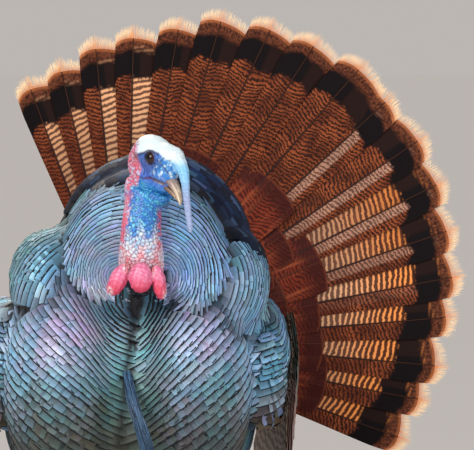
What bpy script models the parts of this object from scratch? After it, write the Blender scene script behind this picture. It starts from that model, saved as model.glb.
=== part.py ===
"""A strutting wild turkey tom, life size, standing still on its own feet. Metres, +Z up.

The bird faces -Y, so its left side is at +X. The origin is the bottom centre of its bounding box.
"""

import math

import bmesh
import bpy
import numpy as np
from mathutils import Matrix, Vector

# Placing: body coordinates are moved by SHIFT, so that the origin is the bottom centre of all.
SHIFT = Vector((-0.079, -0.018, 0.0))
# the gap between parts that touch in life, and how far a cutter is swollen to leave one
GAP = 0.0003
GROW = 0.0006

# The trunk leans a little to the bird's left as it rises.
AXIS_X = -0.014
AXIS_Z = 0.385
LEAN = 0.105
FOOT_AXIS_X = -0.010

# Head: the eye line's middle, how far the head is turned to its left, and how far the bill dips.
HEAD = Vector((0.0236, -0.215, 0.6375))
YAW = math.radians(38.0)
DIP = math.radians(25.0)
EYE_R = 0.0074
EYE_OUT = 0.0128
# head and neck part at a plane under the jaw and behind the nape
NAPE_JOINT = Vector((0.012, -0.210, 0.6035))
NAPE_FACING = Vector((0.22, -0.32, 0.92)).normalized()

# Tail fan.
TAIL_ROOT = Vector((-0.022, 0.225, 0.420))
TAIL_LENGTH = 0.424
TAIL_FEATHERS = 18
TAIL_HALF = math.radians(65.8)
TAIL_EDGE = math.radians(68.0)
# share of the full length at even steps across the fan, from the bird's right to its left
TAIL_SHAPE = (0.742, 0.838, 0.956, 1.008, 0.983, 0.893, 0.798)
TAIL_TILT = math.radians(44.3)
TAIL_BACK = math.radians(12.0)
TAIL_CUP = 0.035
TAIL_THICK = 0.0036
COVERT_LENGTH = 0.235

# Wing: each quill runs from a root on the arm to a tip, as (y, z) in body coordinates.
WING_OUT = 0.189
# how far behind the straight line from root to tip a quill bows
QUILL_BOW = 0.018
# how much of its length a quill keeps at the notches between tips
NOTCH = 0.965
PRIMARY_ROOTS = ((-0.112, 0.352), (-0.078, 0.392))
SECONDARY_ROOTS = ((-0.066, 0.400), (0.050, 0.452))
PRIMARIES = 10
SECONDARIES = 10
WING_THICK = 0.0052

# Leg.
STANCE = 0.062
HOCK_Z = 0.160
ANKLE_Z = 0.024
TARSUS_R = 0.0072
STRIDES = (("L", 1.0, -0.012), ("R", -1.0, 0.008))
SOLE_CUT = 0.0012
MIDDLE_TOE = 0.080
SIDE_TOE = 0.062
HIND_TOE = 0.034
TOE_R = 0.0072

FORWARD = Vector((math.sin(YAW) * math.cos(DIP), -math.cos(YAW) * math.cos(DIP), -math.sin(DIP)))
RIGHT = Vector((-math.cos(YAW), -math.sin(YAW), 0.0))
UP = RIGHT.cross(FORWARD)
HEAD_TURN = Matrix((FORWARD, -RIGHT, UP)).transposed()


def lean_x(x, z):
    """Sideways place of a body point, with the body's lean."""
    share = min(1.0, max(0.0, (z - 0.16) / 0.12))
    leaning = AXIS_X + (z - AXIS_Z) * LEAN
    return x + leaning * share + FOOT_AXIS_X * (1.0 - share)


def lean(p):
    return Vector((lean_x(p[0], p[2]), p[1], p[2]))


def at_head(a, b, c):
    """A point from head coordinates: forward, to the bird's right, and up."""
    return HEAD + FORWARD * a + RIGHT * b + UP * c


def clear_scene():
    for thing in list(bpy.data.objects):
        bpy.data.objects.remove(thing, do_unlink=True)
    for group in list(bpy.data.collections):
        bpy.data.collections.remove(group)


def new_object(name, mesh):
    thing = bpy.data.objects.new(name, mesh)
    bpy.context.scene.collection.objects.link(thing)
    return thing


def pick(thing):
    for other in bpy.context.view_layer.objects:
        other.select_set(False)
    thing.select_set(True)
    bpy.context.view_layer.objects.active = thing


def from_faces(name, points, faces):
    mesh = bpy.data.meshes.new(name)
    mesh.from_pydata([tuple(p) for p in points], [], faces)
    thing = new_object(name, mesh)
    tidy(thing)
    return thing


def tidy(thing):
    """Welds, keeps the largest closed piece and turns all faces outward."""
    bm = bmesh.new()
    bm.from_mesh(thing.data)
    bmesh.ops.remove_doubles(bm, verts=bm.verts, dist=2e-5)
    left = dict.fromkeys(bm.faces)
    pieces = []
    while left:
        stack = [left.popitem()[0]]
        piece = list(stack)
        while stack:
            for edge in stack.pop().edges:
                for face in edge.link_faces:
                    if face in left:
                        del left[face]
                        piece.append(face)
                        stack.append(face)
        pieces.append(piece)
    pieces.sort(key=len, reverse=True)
    for piece in pieces[1:]:
        bmesh.ops.delete(bm, geom=piece, context="FACES")
    bmesh.ops.recalc_face_normals(bm, faces=bm.faces)
    if bm.calc_volume(signed=True) < 0:
        bmesh.ops.reverse_faces(bm, faces=bm.faces)
    bm.to_mesh(thing.data)
    bm.free()
    thing.data.update()


def apply(thing, kind, **settings):
    """Adds one modifier, sets it and turns its result into the object's own mesh."""
    modifier = thing.modifiers.new(kind.title(), kind)
    for key, value in settings.items():
        setattr(modifier, key, value)
    pick(thing)
    bpy.ops.object.modifier_apply(modifier=modifier.name)


def ellipsoid(centre, radii, turn=None, segments=28, rings=16):
    bpy.ops.mesh.primitive_uv_sphere_add(segments=segments, ring_count=rings, radius=1.0)
    thing = bpy.context.object
    scale = Matrix.Diagonal((radii[0], radii[1], radii[2], 1.0))
    turned = turn.to_4x4() if turn is not None else Matrix.Identity(4)
    thing.data.transform(Matrix.Translation(centre) @ turned @ scale)
    return thing


def joined(name, things):
    pick(things[0])
    for thing in things[1:]:
        thing.select_set(True)
    bpy.ops.object.join()
    out = bpy.context.object
    out.name = name
    out.data.name = name
    return out


def blend(name, things, voxel, smooth, triangles):
    """Melts overlapping shapes into one smooth skin of about so many triangles."""
    out = joined(name, things)
    apply(out, "REMESH", mode="VOXEL", voxel_size=voxel)
    apply(out, "SMOOTH", factor=0.5, iterations=smooth)
    apply(out, "TRIANGULATE")
    ratio = min(1.0, triangles / len(out.data.polygons))
    apply(out, "DECIMATE", ratio=ratio)
    apply(out, "SMOOTH", factor=0.25, iterations=2)
    tidy(out)
    return out


def ring(centre, across, over, rx, ry, count, power=2.0):
    """Points of an oval loop round a centre."""
    out = []
    for k in range(count):
        t = 2 * math.pi * k / count
        c, s = math.cos(t), math.sin(t)
        e = 2.0 / power
        x = rx * math.copysign(abs(c) ** e, c)
        y = ry * math.copysign(abs(s) ** e, s)
        out.append(Vector(centre) + across * x + over * y)
    return out


def loft(name, rings):
    """A closed solid through rings of equal count, its ends filled to their middles."""
    count = len(rings[0])
    points = [p for loop in rings for p in loop]
    faces = []
    for i in range(len(rings) - 1):
        for k in range(count):
            a, b = i * count + k, i * count + (k + 1) % count
            faces.append((a, b, b + count, a + count))
    for first in (0, len(rings) - 1):
        loop = rings[first]
        points.append(sum(loop, Vector()) / count)
        middle = len(points) - 1
        for k in range(count):
            faces.append((first * count + k, first * count + (k + 1) % count, middle))
    return from_faces(name, points, faces)


def slab_faces(columns, rows):
    """Faces of a closed slab whose points run down each column, first its front and then its back."""
    across = rows + 1
    behind = columns * across
    faces = []
    for c in range(columns - 1):
        for k in range(rows):
            a = c * across + k
            b = behind + a
            faces.append((a, a + 1, a + across + 1, a + across))
            faces.append((b, b + across, b + across + 1, b + 1))
        for k in (0, rows):
            a = c * across + k
            faces.append((a, a + across, behind + a + across, behind + a))
    for c in (0, columns - 1):
        for k in range(rows):
            a = c * across + k
            faces.append((a, a + 1, behind + a + 1, behind + a))
    return faces


def tube(name, path, radii, count=14, flat=1.0):
    """A round or flattened tube along a path of points, with a radius at each."""
    path = [Vector(p) for p in path]
    rings = []
    side = None
    for i, p in enumerate(path):
        along = (path[min(i + 1, len(path) - 1)] - path[max(i - 1, 0)]).normalized()
        if side is None:
            side = along.cross(Vector((0.0, 1.0, 0.0)))
            if side.length < 0.2:
                side = along.cross(Vector((0.0, 0.0, 1.0)))
        side = (side - along * side.dot(along)).normalized()
        rings.append(ring(p, side, along.cross(side), radii[i], radii[i] * flat, count))
    return loft(name, rings)


def smooth_path(points, count):
    """Catmull-Rom points through a short list of (x, y, z, radius)."""
    rows = np.array([points[0]] + list(points) + [points[-1]], float)
    out = []
    spans = len(points) - 1
    for k in range(count):
        at = spans * k / (count - 1)
        i = min(int(at), spans - 1)
        t = at - i
        p0, p1, p2, p3 = rows[i], rows[i + 1], rows[i + 2], rows[i + 3]
        out.append(0.5 * (2 * p1 + (p2 - p0) * t + (2 * p0 - 5 * p1 + 4 * p2 - p3) * t * t
                          + (3 * p1 - p0 - 3 * p2 + p3) * t ** 3))
    return out


def grown(thing, by=GROW):
    """A copy of a solid swollen by a hair, used to cut its neighbour clear of it."""
    copy = new_object(thing.name + "_grown", thing.data.copy())
    apply(copy, "DISPLACE", strength=by, mid_level=0.0)
    return copy


def subtract(thing, cutter, drop=True):
    apply(thing, "BOOLEAN", operation="DIFFERENCE", solver="EXACT", object=cutter)
    if drop:
        bpy.data.objects.remove(cutter, do_unlink=True)
    tidy(thing)


def clear_of(thing, *others, by=GROW):
    for other in others:
        subtract(thing, grown(other, by))


def keep_side(thing, point, normal):
    """Cuts by a plane and keeps what lies on its normal's side, with a flat face there."""
    bm = bmesh.new()
    bm.from_mesh(thing.data)
    geometry = list(bm.verts) + list(bm.edges) + list(bm.faces)
    cut = bmesh.ops.bisect_plane(bm, geom=geometry, plane_co=point, plane_no=normal,
                                 clear_inner=True, dist=1e-6)
    edges = [e for e in cut["geom_cut"] if isinstance(e, bmesh.types.BMEdge)]
    bmesh.ops.triangle_fill(bm, edges=edges, use_beauty=True)
    bm.to_mesh(thing.data)
    bm.free()
    tidy(thing)


# ---------------------------------------------------------------- trunk


def trunk_solid():
    """Breast lobes, ruff, mantle hump, shoulders, belly and rump in one skin."""
    # centre and radii of each swelling, in body coordinates
    single = [
        ((0.000, 0.000, 0.385), (0.146, 0.230, 0.185)),
        ((0.000, 0.015, 0.285), (0.112, 0.160, 0.105)),
        ((0.003, -0.132, 0.534), (0.091, 0.078, 0.091)),
        ((0.011, -0.055, 0.530), (0.110, 0.098, 0.112)),
        ((0.004, 0.070, 0.465), (0.118, 0.140, 0.112)),
        ((-0.002, 0.165, 0.425), (0.082, 0.095, 0.085)),
        ((-0.002, 0.185, 0.335), (0.088, 0.085, 0.100)),
        ((-0.004, 0.150, 0.265), (0.066, 0.075, 0.070)),
    ]
    paired = [
        ((0.066, -0.150, 0.385), (0.071, 0.108, 0.122)),
        ((0.056, -0.112, 0.300), (0.066, 0.100, 0.097)),
        ((0.100, -0.100, 0.500), (0.045, 0.085, 0.060)),
    ]
    things = [ellipsoid(lean(c), r) for c, r in single]
    for side in (-1.0, 1.0):
        for c, r in paired:
            things.append(ellipsoid(lean((c[0] * side, c[1], c[2])), r))
    return blend("trunk", things, 0.0065, 7, 1800)


# ---------------------------------------------------------------- head and neck


def neck_solid():
    path = [
        (0.004, -0.150, 0.490, 0.0300),
        (0.002, -0.190, 0.515, 0.0265),
        (0.001, -0.212, 0.540, 0.0225),
        (0.001, -0.213, 0.562, 0.0205),
        (0.003, -0.207, 0.584, 0.0194),
        (0.004, -0.201, 0.604, 0.0200),
        (0.007, -0.198, 0.624, 0.0190),
    ]
    rows = smooth_path(path, 16)
    stem = tube("neck_stem", [r[:3] for r in rows], [r[3] for r in rows], 24)
    throat = [
        ellipsoid(at_head(0.011, 0.000, -0.0350), (0.0170, 0.0130, 0.0135), HEAD_TURN),
        ellipsoid(at_head(0.000, 0.001, -0.0400), (0.0180, 0.0150, 0.0180), HEAD_TURN),
        ellipsoid(at_head(-0.026, 0.000, -0.0200), (0.0168, 0.0172, 0.0230), HEAD_TURN),
    ]
    return blend("neck", [stem] + throat, 0.0026, 3, 640)


def head_solid():
    # centre and radii of each swelling, in head coordinates
    swellings = [
        ((-0.0135, 0.0, -0.0010), (0.0275, 0.0190, 0.0182)),
        ((0.0070, 0.0, 0.0040), (0.0190, 0.0142, 0.0150)),
        ((0.0150, -0.0030, 0.0055), (0.0138, 0.0118, 0.0140)),
        ((0.0040, 0.0, -0.0120), (0.0190, 0.0150, 0.0150)),
        ((0.0170, 0.0, -0.0070), (0.0135, 0.0098, 0.0135)),
        ((0.0080, 0.0, -0.0240), (0.0190, 0.0125, 0.0120)),
        ((-0.0260, 0.0, -0.0150), (0.0170, 0.0172, 0.0235)),
        ((-0.0080, 0.0, -0.0330), (0.0220, 0.0170, 0.0185)),
    ]
    things = [ellipsoid(at_head(*c), r, HEAD_TURN) for c, r in swellings]
    return blend("head", things, 0.0020, 3, 720)


def eye_solid(name, side):
    eye = ellipsoid(at_head(0.0, side * EYE_OUT, 0.0), (EYE_R, EYE_R, EYE_R), HEAD_TURN, 12, 7)
    eye.name = name
    eye.data.name = name
    return eye


def bill_solid(name, rows):
    """A bill half through rows of (forward, up, half width, half height)."""
    rings = []
    for a, c, w, h in rows:
        rings.append(ring(at_head(a, 0.0, c), RIGHT, UP, w, h, 10, 2.2))
    return loft(name, rings)


def snood_solid():
    base = at_head(0.0200, -0.0020, 0.0080)
    path = [
        (base.x, base.y, base.z, 0.0085),
        (0.0455, -0.2380, 0.6275, 0.0068),
        (0.0487, -0.2440, 0.6120, 0.0045),
        (0.0500, -0.2450, 0.5960, 0.0036),
        (0.0520, -0.2440, 0.5780, 0.0034),
        (0.0538, -0.2430, 0.5640, 0.0028),
        (0.0540, -0.2425, 0.5590, 0.0014),
    ]
    rows = smooth_path(path, 10)
    return tube("snood", [r[:3] for r in rows], [r[3] for r in rows], 8)


def wattle_solid(name, centre, radii, tilt):
    turn = Matrix.Rotation(math.radians(tilt), 3, "Y")
    thing = ellipsoid(Vector(centre), radii, turn, 10, 7)
    thing.name = name
    thing.data.name = name
    tidy(thing)
    return thing


def beard_solid():
    path = [
        (-0.0120, -0.2360, 0.4000, 0.0050),
        (-0.0085, -0.2560, 0.3840, 0.0062),
        (-0.0010, -0.2690, 0.3600, 0.0068),
        (0.0080, -0.2735, 0.3300, 0.0078),
        (0.0150, -0.2690, 0.2900, 0.0080),
        (0.0190, -0.2620, 0.2450, 0.0062),
        (0.0200, -0.2590, 0.2150, 0.0025),
    ]
    rows = smooth_path(path, 10)
    return tube("beard", [r[:3] for r in rows], [r[3] for r in rows], 8, 0.7)


# ---------------------------------------------------------------- tail


def tail_frame():
    """Directions of the fan: along its middle feather, across it, and its forward face."""
    along = Vector((math.sin(TAIL_TILT), 0.0, math.cos(TAIL_TILT)))
    across = Vector((math.cos(TAIL_TILT), 0.0, -math.sin(TAIL_TILT)))
    along = along * math.cos(TAIL_BACK) + Vector((0.0, math.sin(TAIL_BACK), 0.0))
    front = along.cross(across).normalized()
    if front.y > 0:
        front = -front
    return along, across, front


def tail_point(angle, radius, lift):
    along, across, front = tail_frame()
    cup = TAIL_CUP * (angle / TAIL_HALF) ** 2 * (radius / TAIL_LENGTH) ** 1.5
    flat = along * (radius * math.cos(angle)) + across * (radius * math.sin(angle))
    return TAIL_ROOT + flat + front * (cup + lift)


def tail_reach(angle):
    """Length of the fan at an angle: longest in the middle, and longer on the bird's left."""
    at = (angle / TAIL_EDGE + 1.0) / 2.0 * (len(TAIL_SHAPE) - 1)
    i = min(max(int(at), 0), len(TAIL_SHAPE) - 2)
    shape = (TAIL_SHAPE[0] * 2 - TAIL_SHAPE[1],) + TAIL_SHAPE
    shape += (TAIL_SHAPE[-1] * 2 - TAIL_SHAPE[-2],)
    a, b, c, d = shape[i:i + 4]
    t = at - i
    bend = (2 * a - 5 * b + 4 * c - d) * t * t + (3 * b - a - 3 * c + d) * t ** 3
    return TAIL_LENGTH * 0.5 * (2 * b + (c - a) * t + bend)


def fan_solid(name, feathers, half, reach, inner, front_at, thick, notch, rows, ridge):
    """A fan of like feathers as one solid: ridged along each shaft, notched between tips."""
    step = 2 * half / (feathers - 1)
    columns = []
    for i in range(feathers):
        for part in (-0.5, -0.18, 0.18):
            if i or part > -0.4:
                columns.append((-half + step * (i + part), part))
    columns.append((half + step * 0.30, 0.4))
    columns.insert(0, (-half - step * 0.30, -0.4))
    points = []
    for side in (1.0, -1.0):
        for angle, part in columns:
            end = reach(angle) * (1.0 - notch * (2 * abs(part)) ** 2)
            for k in range(rows + 1):
                t = k / rows
                radius = inner + (end - inner) * t
                half_thick = thick * (0.5 - 0.16 * t)
                crest = ridge * (1.0 - 2 * abs(part)) * (1.0 if side > 0 else -0.4) * (1 - 0.5 * t)
                points.append(tail_point(angle, radius, front_at(t) + side * half_thick + crest))
    return from_faces(name, points, slab_faces(len(columns), rows))


def tail_solid():
    return fan_solid("tail_fan", TAIL_FEATHERS, TAIL_HALF, tail_reach, 0.030,
                     lambda t: 0.0, TAIL_THICK, 0.022, 2, 0.0011)


def coverts_solid():
    def reach(angle):
        return COVERT_LENGTH * (1.0 - 0.10 * (angle / TAIL_HALF) ** 2)

    return fan_solid("tail_coverts", 10, TAIL_HALF * 0.90, reach, 0.026,
                     lambda t: 0.0115 - 0.0052 * t, 0.0070, 0.045, 2, 0.0010)


# ---------------------------------------------------------------- wings


def quill_tips():
    """Tips of the flight quills as (y, z), the outermost primary first."""
    rows = [
        (0.048, -0.014), (0.082, -0.014), (0.112, 0.004), (0.138, 0.018), (0.158, 0.040),
        (0.172, 0.064), (0.183, 0.088), (0.192, 0.111), (0.199, 0.133), (0.205, 0.154),
        (0.210, 0.174), (0.214, 0.194), (0.218, 0.214), (0.221, 0.234), (0.223, 0.255),
        (0.223, 0.277), (0.221, 0.300), (0.215, 0.325), (0.204, 0.352), (0.186, 0.380),
    ]
    return rows


def wing_x(y, z, t):
    """How far out the wing's sheet lies: it hugs the flank behind and flares at the floor."""
    rear = max(0.0, (y + 0.02) / 0.24)
    low = max(0.0, (0.20 - z) / 0.20)
    return WING_OUT - 0.040 * rear ** 1.4 + 0.006 * low - 0.014 * (1 - t) ** 2


def quill_root(i):
    if i < PRIMARIES:
        (y0, z0), (y1, z1) = PRIMARY_ROOTS
        t = i / (PRIMARIES - 1)
    else:
        (y0, z0), (y1, z1) = SECONDARY_ROOTS
        t = (i - PRIMARIES) / (SECONDARIES - 1)
    return y0 + (y1 - y0) * t, z0 + (z1 - z0) * t


def quills_solid(name, side):
    tips = quill_tips()
    total = len(tips)
    columns = []
    for i in range(total):
        y0, z0 = quill_root(i)
        columns.append((y0, z0, tips[i][0], tips[i][1], 1.0))
        if i < total - 1:
            y1, z1 = quill_root(i + 1)
            ty = (tips[i][0] + tips[i + 1][0]) / 2
            tz = (tips[i][1] + tips[i + 1][1]) / 2
            columns.append(((y0 + y1) / 2, (z0 + z1) / 2, ty, tz, NOTCH))
    rows = 2
    points = []
    for face in (1.0, -1.0):
        for y0, z0, y1, z1, end in columns:
            for k in range(rows + 1):
                t = k / rows
                bow = QUILL_BOW * math.sin(math.pi * t)
                y = y0 + (y1 - y0) * t * end - bow * (z0 - z1) * 2.2
                z = z0 + (z1 - z0) * t * end
                half = WING_THICK * (0.5 - 0.18 * t)
                ridge = 0.0009 if end == 1.0 else -0.0005
                x = wing_x(y, z, t) + face * half + (ridge if face > 0 else 0.0)
                points.append(Vector((lean_x(side * x, z), y, z)))
    quills = from_faces(name, points, slab_faces(len(columns), rows))
    keep_side(quills, Vector((0.0, 0.0, 0.0)), Vector((0.0, 0.0, 1.0)))
    return quills


def arm_solid(name, side):
    swellings = [
        ((0.143, -0.035, 0.418), (0.033, 0.112, 0.066)),
        ((0.148, -0.085, 0.385), (0.028, 0.050, 0.052)),
        ((0.128, 0.050, 0.430), (0.030, 0.085, 0.046)),
    ]
    things = [ellipsoid(lean((c[0] * side, c[1], c[2])), r, None, 20, 12) for c, r in swellings]
    return blend(name, things, 0.006, 4, 200)


# ---------------------------------------------------------------- legs


def thigh_solid(name, side):
    x = side * STANCE
    things = [
        ellipsoid(lean((x * 1.13, 0.000, 0.246)), (0.052, 0.074, 0.068), None, 16, 10),
        ellipsoid(lean((x * 1.03, 0.022, 0.204)), (0.032, 0.042, 0.047), None, 16, 10),
        ellipsoid(lean((x, 0.034, 0.184)), (0.0180, 0.022, 0.027), None, 16, 10),
    ]
    return blend(name, things, 0.005, 3, 220)


def shank_solid(name, side):
    x = FOOT_AXIS_X + side * STANCE
    rows = smooth_path([
        (x, 0.035, HOCK_Z + 0.018, 0.0095),
        (x, 0.037, HOCK_Z, 0.0108),
        (x, 0.031, HOCK_Z - 0.022, 0.0082),
        (x, 0.022, 0.110, TARSUS_R),
        (x, 0.013, 0.060, TARSUS_R),
        (x, 0.007, 0.030, 0.0088),
        (x, 0.006, 0.018, 0.0100),
    ], 14)
    stem = tube(name, [r[:3] for r in rows], [r[3] for r in rows], 14, 1.2)
    inner = x - side * 0.004
    spur = smooth_path([
        (inner, 0.014, 0.066, 0.0058),
        (inner - side * 0.004, 0.027, 0.067, 0.0042),
        (inner - side * 0.006, 0.037, 0.072, 0.0020),
    ], 6)
    horn = tube(name + "_spur", [r[:3] for r in spur], [r[3] for r in spur], 10)
    return blend(name, [stem, horn], 0.0022, 1, 160)


def foot_solid(name, side, stride):
    """Four toes with claws round the ankle, flat where they stand."""
    x = FOOT_AXIS_X + side * STANCE
    y = 0.004
    things = [ellipsoid(Vector((x, y, 0.012)), (0.0125, 0.0135, 0.0115), None, 14, 9),
              tube(name, [(x, y + 0.002, 0.012), (x, y + 0.003, 0.030)], [0.0098, 0.0092], 14, 1.15)]
    toes = [
        (MIDDLE_TOE, side * 4.0, 1.0),
        (SIDE_TOE, side * 38.0, 0.94),
        (SIDE_TOE * 0.94, side * -33.0, 0.94),
        (HIND_TOE, 180.0 + side * -14.0, 0.80),
    ]
    for length, turn, size in toes:
        a = math.radians(turn)
        ahead = Vector((math.sin(a), -math.cos(a), 0.0))
        start = Vector((x, y, 0.0))
        path = []
        for share, high, r in ((0.0, 0.010, 1.00), (0.30, 0.0085, 0.92), (0.50, 0.0068, 0.90),
                               (0.68, 0.0062, 0.80), (0.84, 0.0052, 0.78), (1.0, 0.0048, 0.62)):
            p = start + ahead * (length * share)
            path.append((p.x, p.y, high, TOE_R * size * r))
        rows = smooth_path(path, 10)
        things.append(tube(name, [r[:3] for r in rows], [r[3] for r in rows], 10))
        claw = []
        for out, high, r in ((-0.003, 0.0068, 0.0036), (0.006, 0.0062, 0.0030), (0.013, 0.0030, 0.0018)):
            p = start + ahead * (length + out)
            claw.append((p.x, p.y, high, r))
        rows = smooth_path(claw, 5)
        things.append(tube(name, [r[:3] for r in rows], [r[3] for r in rows], 8))
    foot = blend(name, things, 0.0017, 1, 340)
    foot.data.transform(Matrix.Translation((0.0, stride, 0.0)))
    keep_side(foot, Vector((0.0, 0.0, SOLE_CUT)), Vector((0.0, 0.0, 1.0)))
    foot.data.transform(Matrix.Translation((0.0, 0.0, -SOLE_CUT)))
    return foot


# ---------------------------------------------------------------- putting it together

COLOURS = {
    "trunk": (0.10, 0.14, 0.15), "head": (0.45, 0.60, 0.85), "neck": (0.70, 0.35, 0.40),
    "eye": (0.03, 0.015, 0.01), "bill": (0.55, 0.45, 0.33), "snood": (0.60, 0.62, 0.78),
    "wattle": (0.75, 0.12, 0.16), "beard": (0.02, 0.025, 0.035), "tail_fan": (0.20, 0.08, 0.03),
    "tail_coverts": (0.17, 0.06, 0.03), "wing_arm": (0.12, 0.14, 0.13),
    "wing_quills": (0.16, 0.13, 0.11), "thigh": (0.06, 0.05, 0.045),
    "shank": (0.45, 0.22, 0.20), "foot": (0.42, 0.20, 0.18),
}


def paint(thing):
    key = max((k for k in COLOURS if thing.name.startswith(k)), key=len)
    material = bpy.data.materials.new(thing.name)
    material.use_nodes = True
    shader = material.node_tree.nodes["Principled BSDF"]
    shader.inputs["Base Color"].default_value = (*COLOURS[key], 1.0)
    shader.inputs["Roughness"].default_value = 0.6
    thing.data.materials.clear()
    thing.data.materials.append(material)


def build():
    clear_scene()
    trunk = trunk_solid()
    neck = neck_solid()
    head = head_solid()

    keep_side(head, NAPE_JOINT + NAPE_FACING * GAP / 2, NAPE_FACING)
    keep_side(neck, NAPE_JOINT - NAPE_FACING * GAP / 2, -NAPE_FACING)
    clear_of(neck, trunk)

    eyes = [eye_solid("eye_R", 1.0), eye_solid("eye_L", -1.0)]
    clear_of(head, *eyes, by=GAP)
    upper = bill_solid("bill_upper", [
        (0.0160, -0.0120, 0.0085, 0.0075), (0.0260, -0.0130, 0.0078, 0.0072),
        (0.0340, -0.0157, 0.0064, 0.0060), (0.0410, -0.0195, 0.0050, 0.0050),
        (0.0465, -0.0240, 0.0035, 0.0040), (0.0500, -0.0285, 0.0016, 0.0024),
    ])
    lower = bill_solid("bill_lower", [
        (0.0120, -0.0245, 0.0078, 0.0046), (0.0240, -0.0258, 0.0066, 0.0038),
        (0.0340, -0.0276, 0.0050, 0.0032), (0.0410, -0.0293, 0.0034, 0.0024),
        (0.0445, -0.0303, 0.0014, 0.0014),
    ])
    clear_of(upper, head)
    clear_of(lower, head, neck, upper)
    snood = snood_solid()
    clear_of(snood, head, upper)

    wattles = [
        wattle_solid("wattle_M", (0.0010, -0.2345, 0.5100), (0.0128, 0.0120, 0.0160), 0.0),
        wattle_solid("wattle_R", (-0.0232, -0.2300, 0.5075), (0.0098, 0.0110, 0.0180), 26.0),
        wattle_solid("wattle_L", (0.0205, -0.2300, 0.5050), (0.0074, 0.0100, 0.0185), -8.0),
    ]
    clear_of(wattles[1], wattles[0])
    clear_of(wattles[2], wattles[0])
    for wattle in wattles:
        clear_of(wattle, neck, trunk)
    beard = beard_solid()
    clear_of(beard, trunk)

    fan = tail_solid()
    clear_of(fan, trunk)
    coverts = coverts_solid()
    clear_of(coverts, trunk, fan)

    nodes = [trunk, neck, head, *eyes, upper, lower, snood, *wattles, beard, fan, coverts]
    for tag, side, stride in STRIDES:
        arm = arm_solid("wing_arm_" + tag, side)
        clear_of(arm, trunk)
        quills = quills_solid("wing_quills_" + tag, side)
        clear_of(quills, trunk, arm)
        thigh = thigh_solid("thigh_" + tag, side)
        thigh.data.transform(Matrix.Translation((0.0, stride, 0.0)))
        clear_of(thigh, trunk, by=0.0010)
        shank = shank_solid("shank_" + tag, side)
        shank.data.transform(Matrix.Translation((0.0, stride, 0.0)))
        keep_side(shank, Vector((0.0, 0.0, ANKLE_Z + GAP)), Vector((0.0, 0.0, 1.0)))
        clear_of(shank, thigh)
        foot = foot_solid("foot_" + tag, side, stride)
        keep_side(foot, Vector((0.0, 0.0, ANKLE_Z)), Vector((0.0, 0.0, -1.0)))
        nodes += [arm, quills, thigh, shank, foot]

    home = bpy.data.collections.new("wild_turkey")
    bpy.context.scene.collection.children.link(home)
    for node in nodes:
        node.data.transform(Matrix.Translation(SHIFT))
        bpy.context.scene.collection.objects.unlink(node)
        home.objects.link(node)
        node.data.name = node.name
        paint(node)
    low = np.min([np.array(v.co) for n in nodes for v in n.data.vertices], axis=0)
    high = np.max([np.array(v.co) for n in nodes for v in n.data.vertices], axis=0)
    faces = 0
    for node in nodes:
        node.data.calc_loop_triangles()
        print(node.name, len(node.data.loop_triangles))
        faces += len(node.data.loop_triangles)
    print("low", low.round(4), "high", high.round(4), "triangles", faces)


build()
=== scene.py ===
"""A life-size strutting wild turkey tom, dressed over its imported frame.

Metres, +Z up. The bird faces -Y, so its left side is at +X.
"""

import math

import bmesh
import bpy
import numpy as np
from bpy.props import FloatProperty, FloatVectorProperty, IntProperty, PointerProperty
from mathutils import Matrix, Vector
from mathutils.bvhtree import BVHTree
from mathutils.kdtree import KDTree


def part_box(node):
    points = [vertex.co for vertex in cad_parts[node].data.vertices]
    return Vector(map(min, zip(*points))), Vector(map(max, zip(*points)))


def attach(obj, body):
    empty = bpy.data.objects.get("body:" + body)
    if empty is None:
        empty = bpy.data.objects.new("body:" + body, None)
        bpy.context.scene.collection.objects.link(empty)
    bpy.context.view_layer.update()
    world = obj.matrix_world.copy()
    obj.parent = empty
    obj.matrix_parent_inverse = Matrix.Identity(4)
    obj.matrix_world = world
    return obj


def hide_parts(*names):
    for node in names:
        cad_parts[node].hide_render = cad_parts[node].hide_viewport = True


bl_info = {
    "name": "Wild turkey",
    "version": (1, 0, 0),
    "blender": (4, 5, 0),
    "location": "3D View > Sidebar > Turkey",
    "description": "Builds the skin, feathers, eyes, bill and legs of a strutting tom turkey",
    "category": "Object",
}

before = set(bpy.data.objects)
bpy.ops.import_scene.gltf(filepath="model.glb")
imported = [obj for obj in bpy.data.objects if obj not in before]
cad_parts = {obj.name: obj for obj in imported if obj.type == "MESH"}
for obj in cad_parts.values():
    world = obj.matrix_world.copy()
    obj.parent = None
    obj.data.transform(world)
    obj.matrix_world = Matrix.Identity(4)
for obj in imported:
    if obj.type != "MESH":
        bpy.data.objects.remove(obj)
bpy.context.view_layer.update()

# ---------------------------------------------------------------- the bird's own measures

# Body coordinates are moved by BIRD to stand in the frame.
BIRD = np.array((-0.079, -0.018, 0.0))

# The trunk leans a little to the bird's left as it rises.
AXIS_X = -0.014
AXIS_Z = 0.385
LEAN = 0.105
LEAN_START = 0.16
LEAN_GROWTH = 0.12
FOOT_AXIS_X = -0.010

# Head: the eye line's middle, its turn to the bird's left, and the bill's dip.
HEAD = np.array((0.0236, -0.215, 0.6375)) + BIRD
YAW = math.radians(38.0)
DIP = math.radians(25.0)
FORWARD = np.array((math.sin(YAW) * math.cos(DIP), -math.cos(YAW) * math.cos(DIP), -math.sin(DIP)))
RIGHT = np.array((-math.cos(YAW), -math.sin(YAW), 0.0))
UP = np.cross(RIGHT, FORWARD)
EYE_R = 0.0074
EYE_OUT = 0.0128
# angles from the eye's middle over which the pupil and the iris end
PUPIL_EDGE = (0.54, 0.60)
IRIS_EDGE = (0.84, 0.92)
PUPIL_BLACK = (0.002, 0.002, 0.003)

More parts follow.
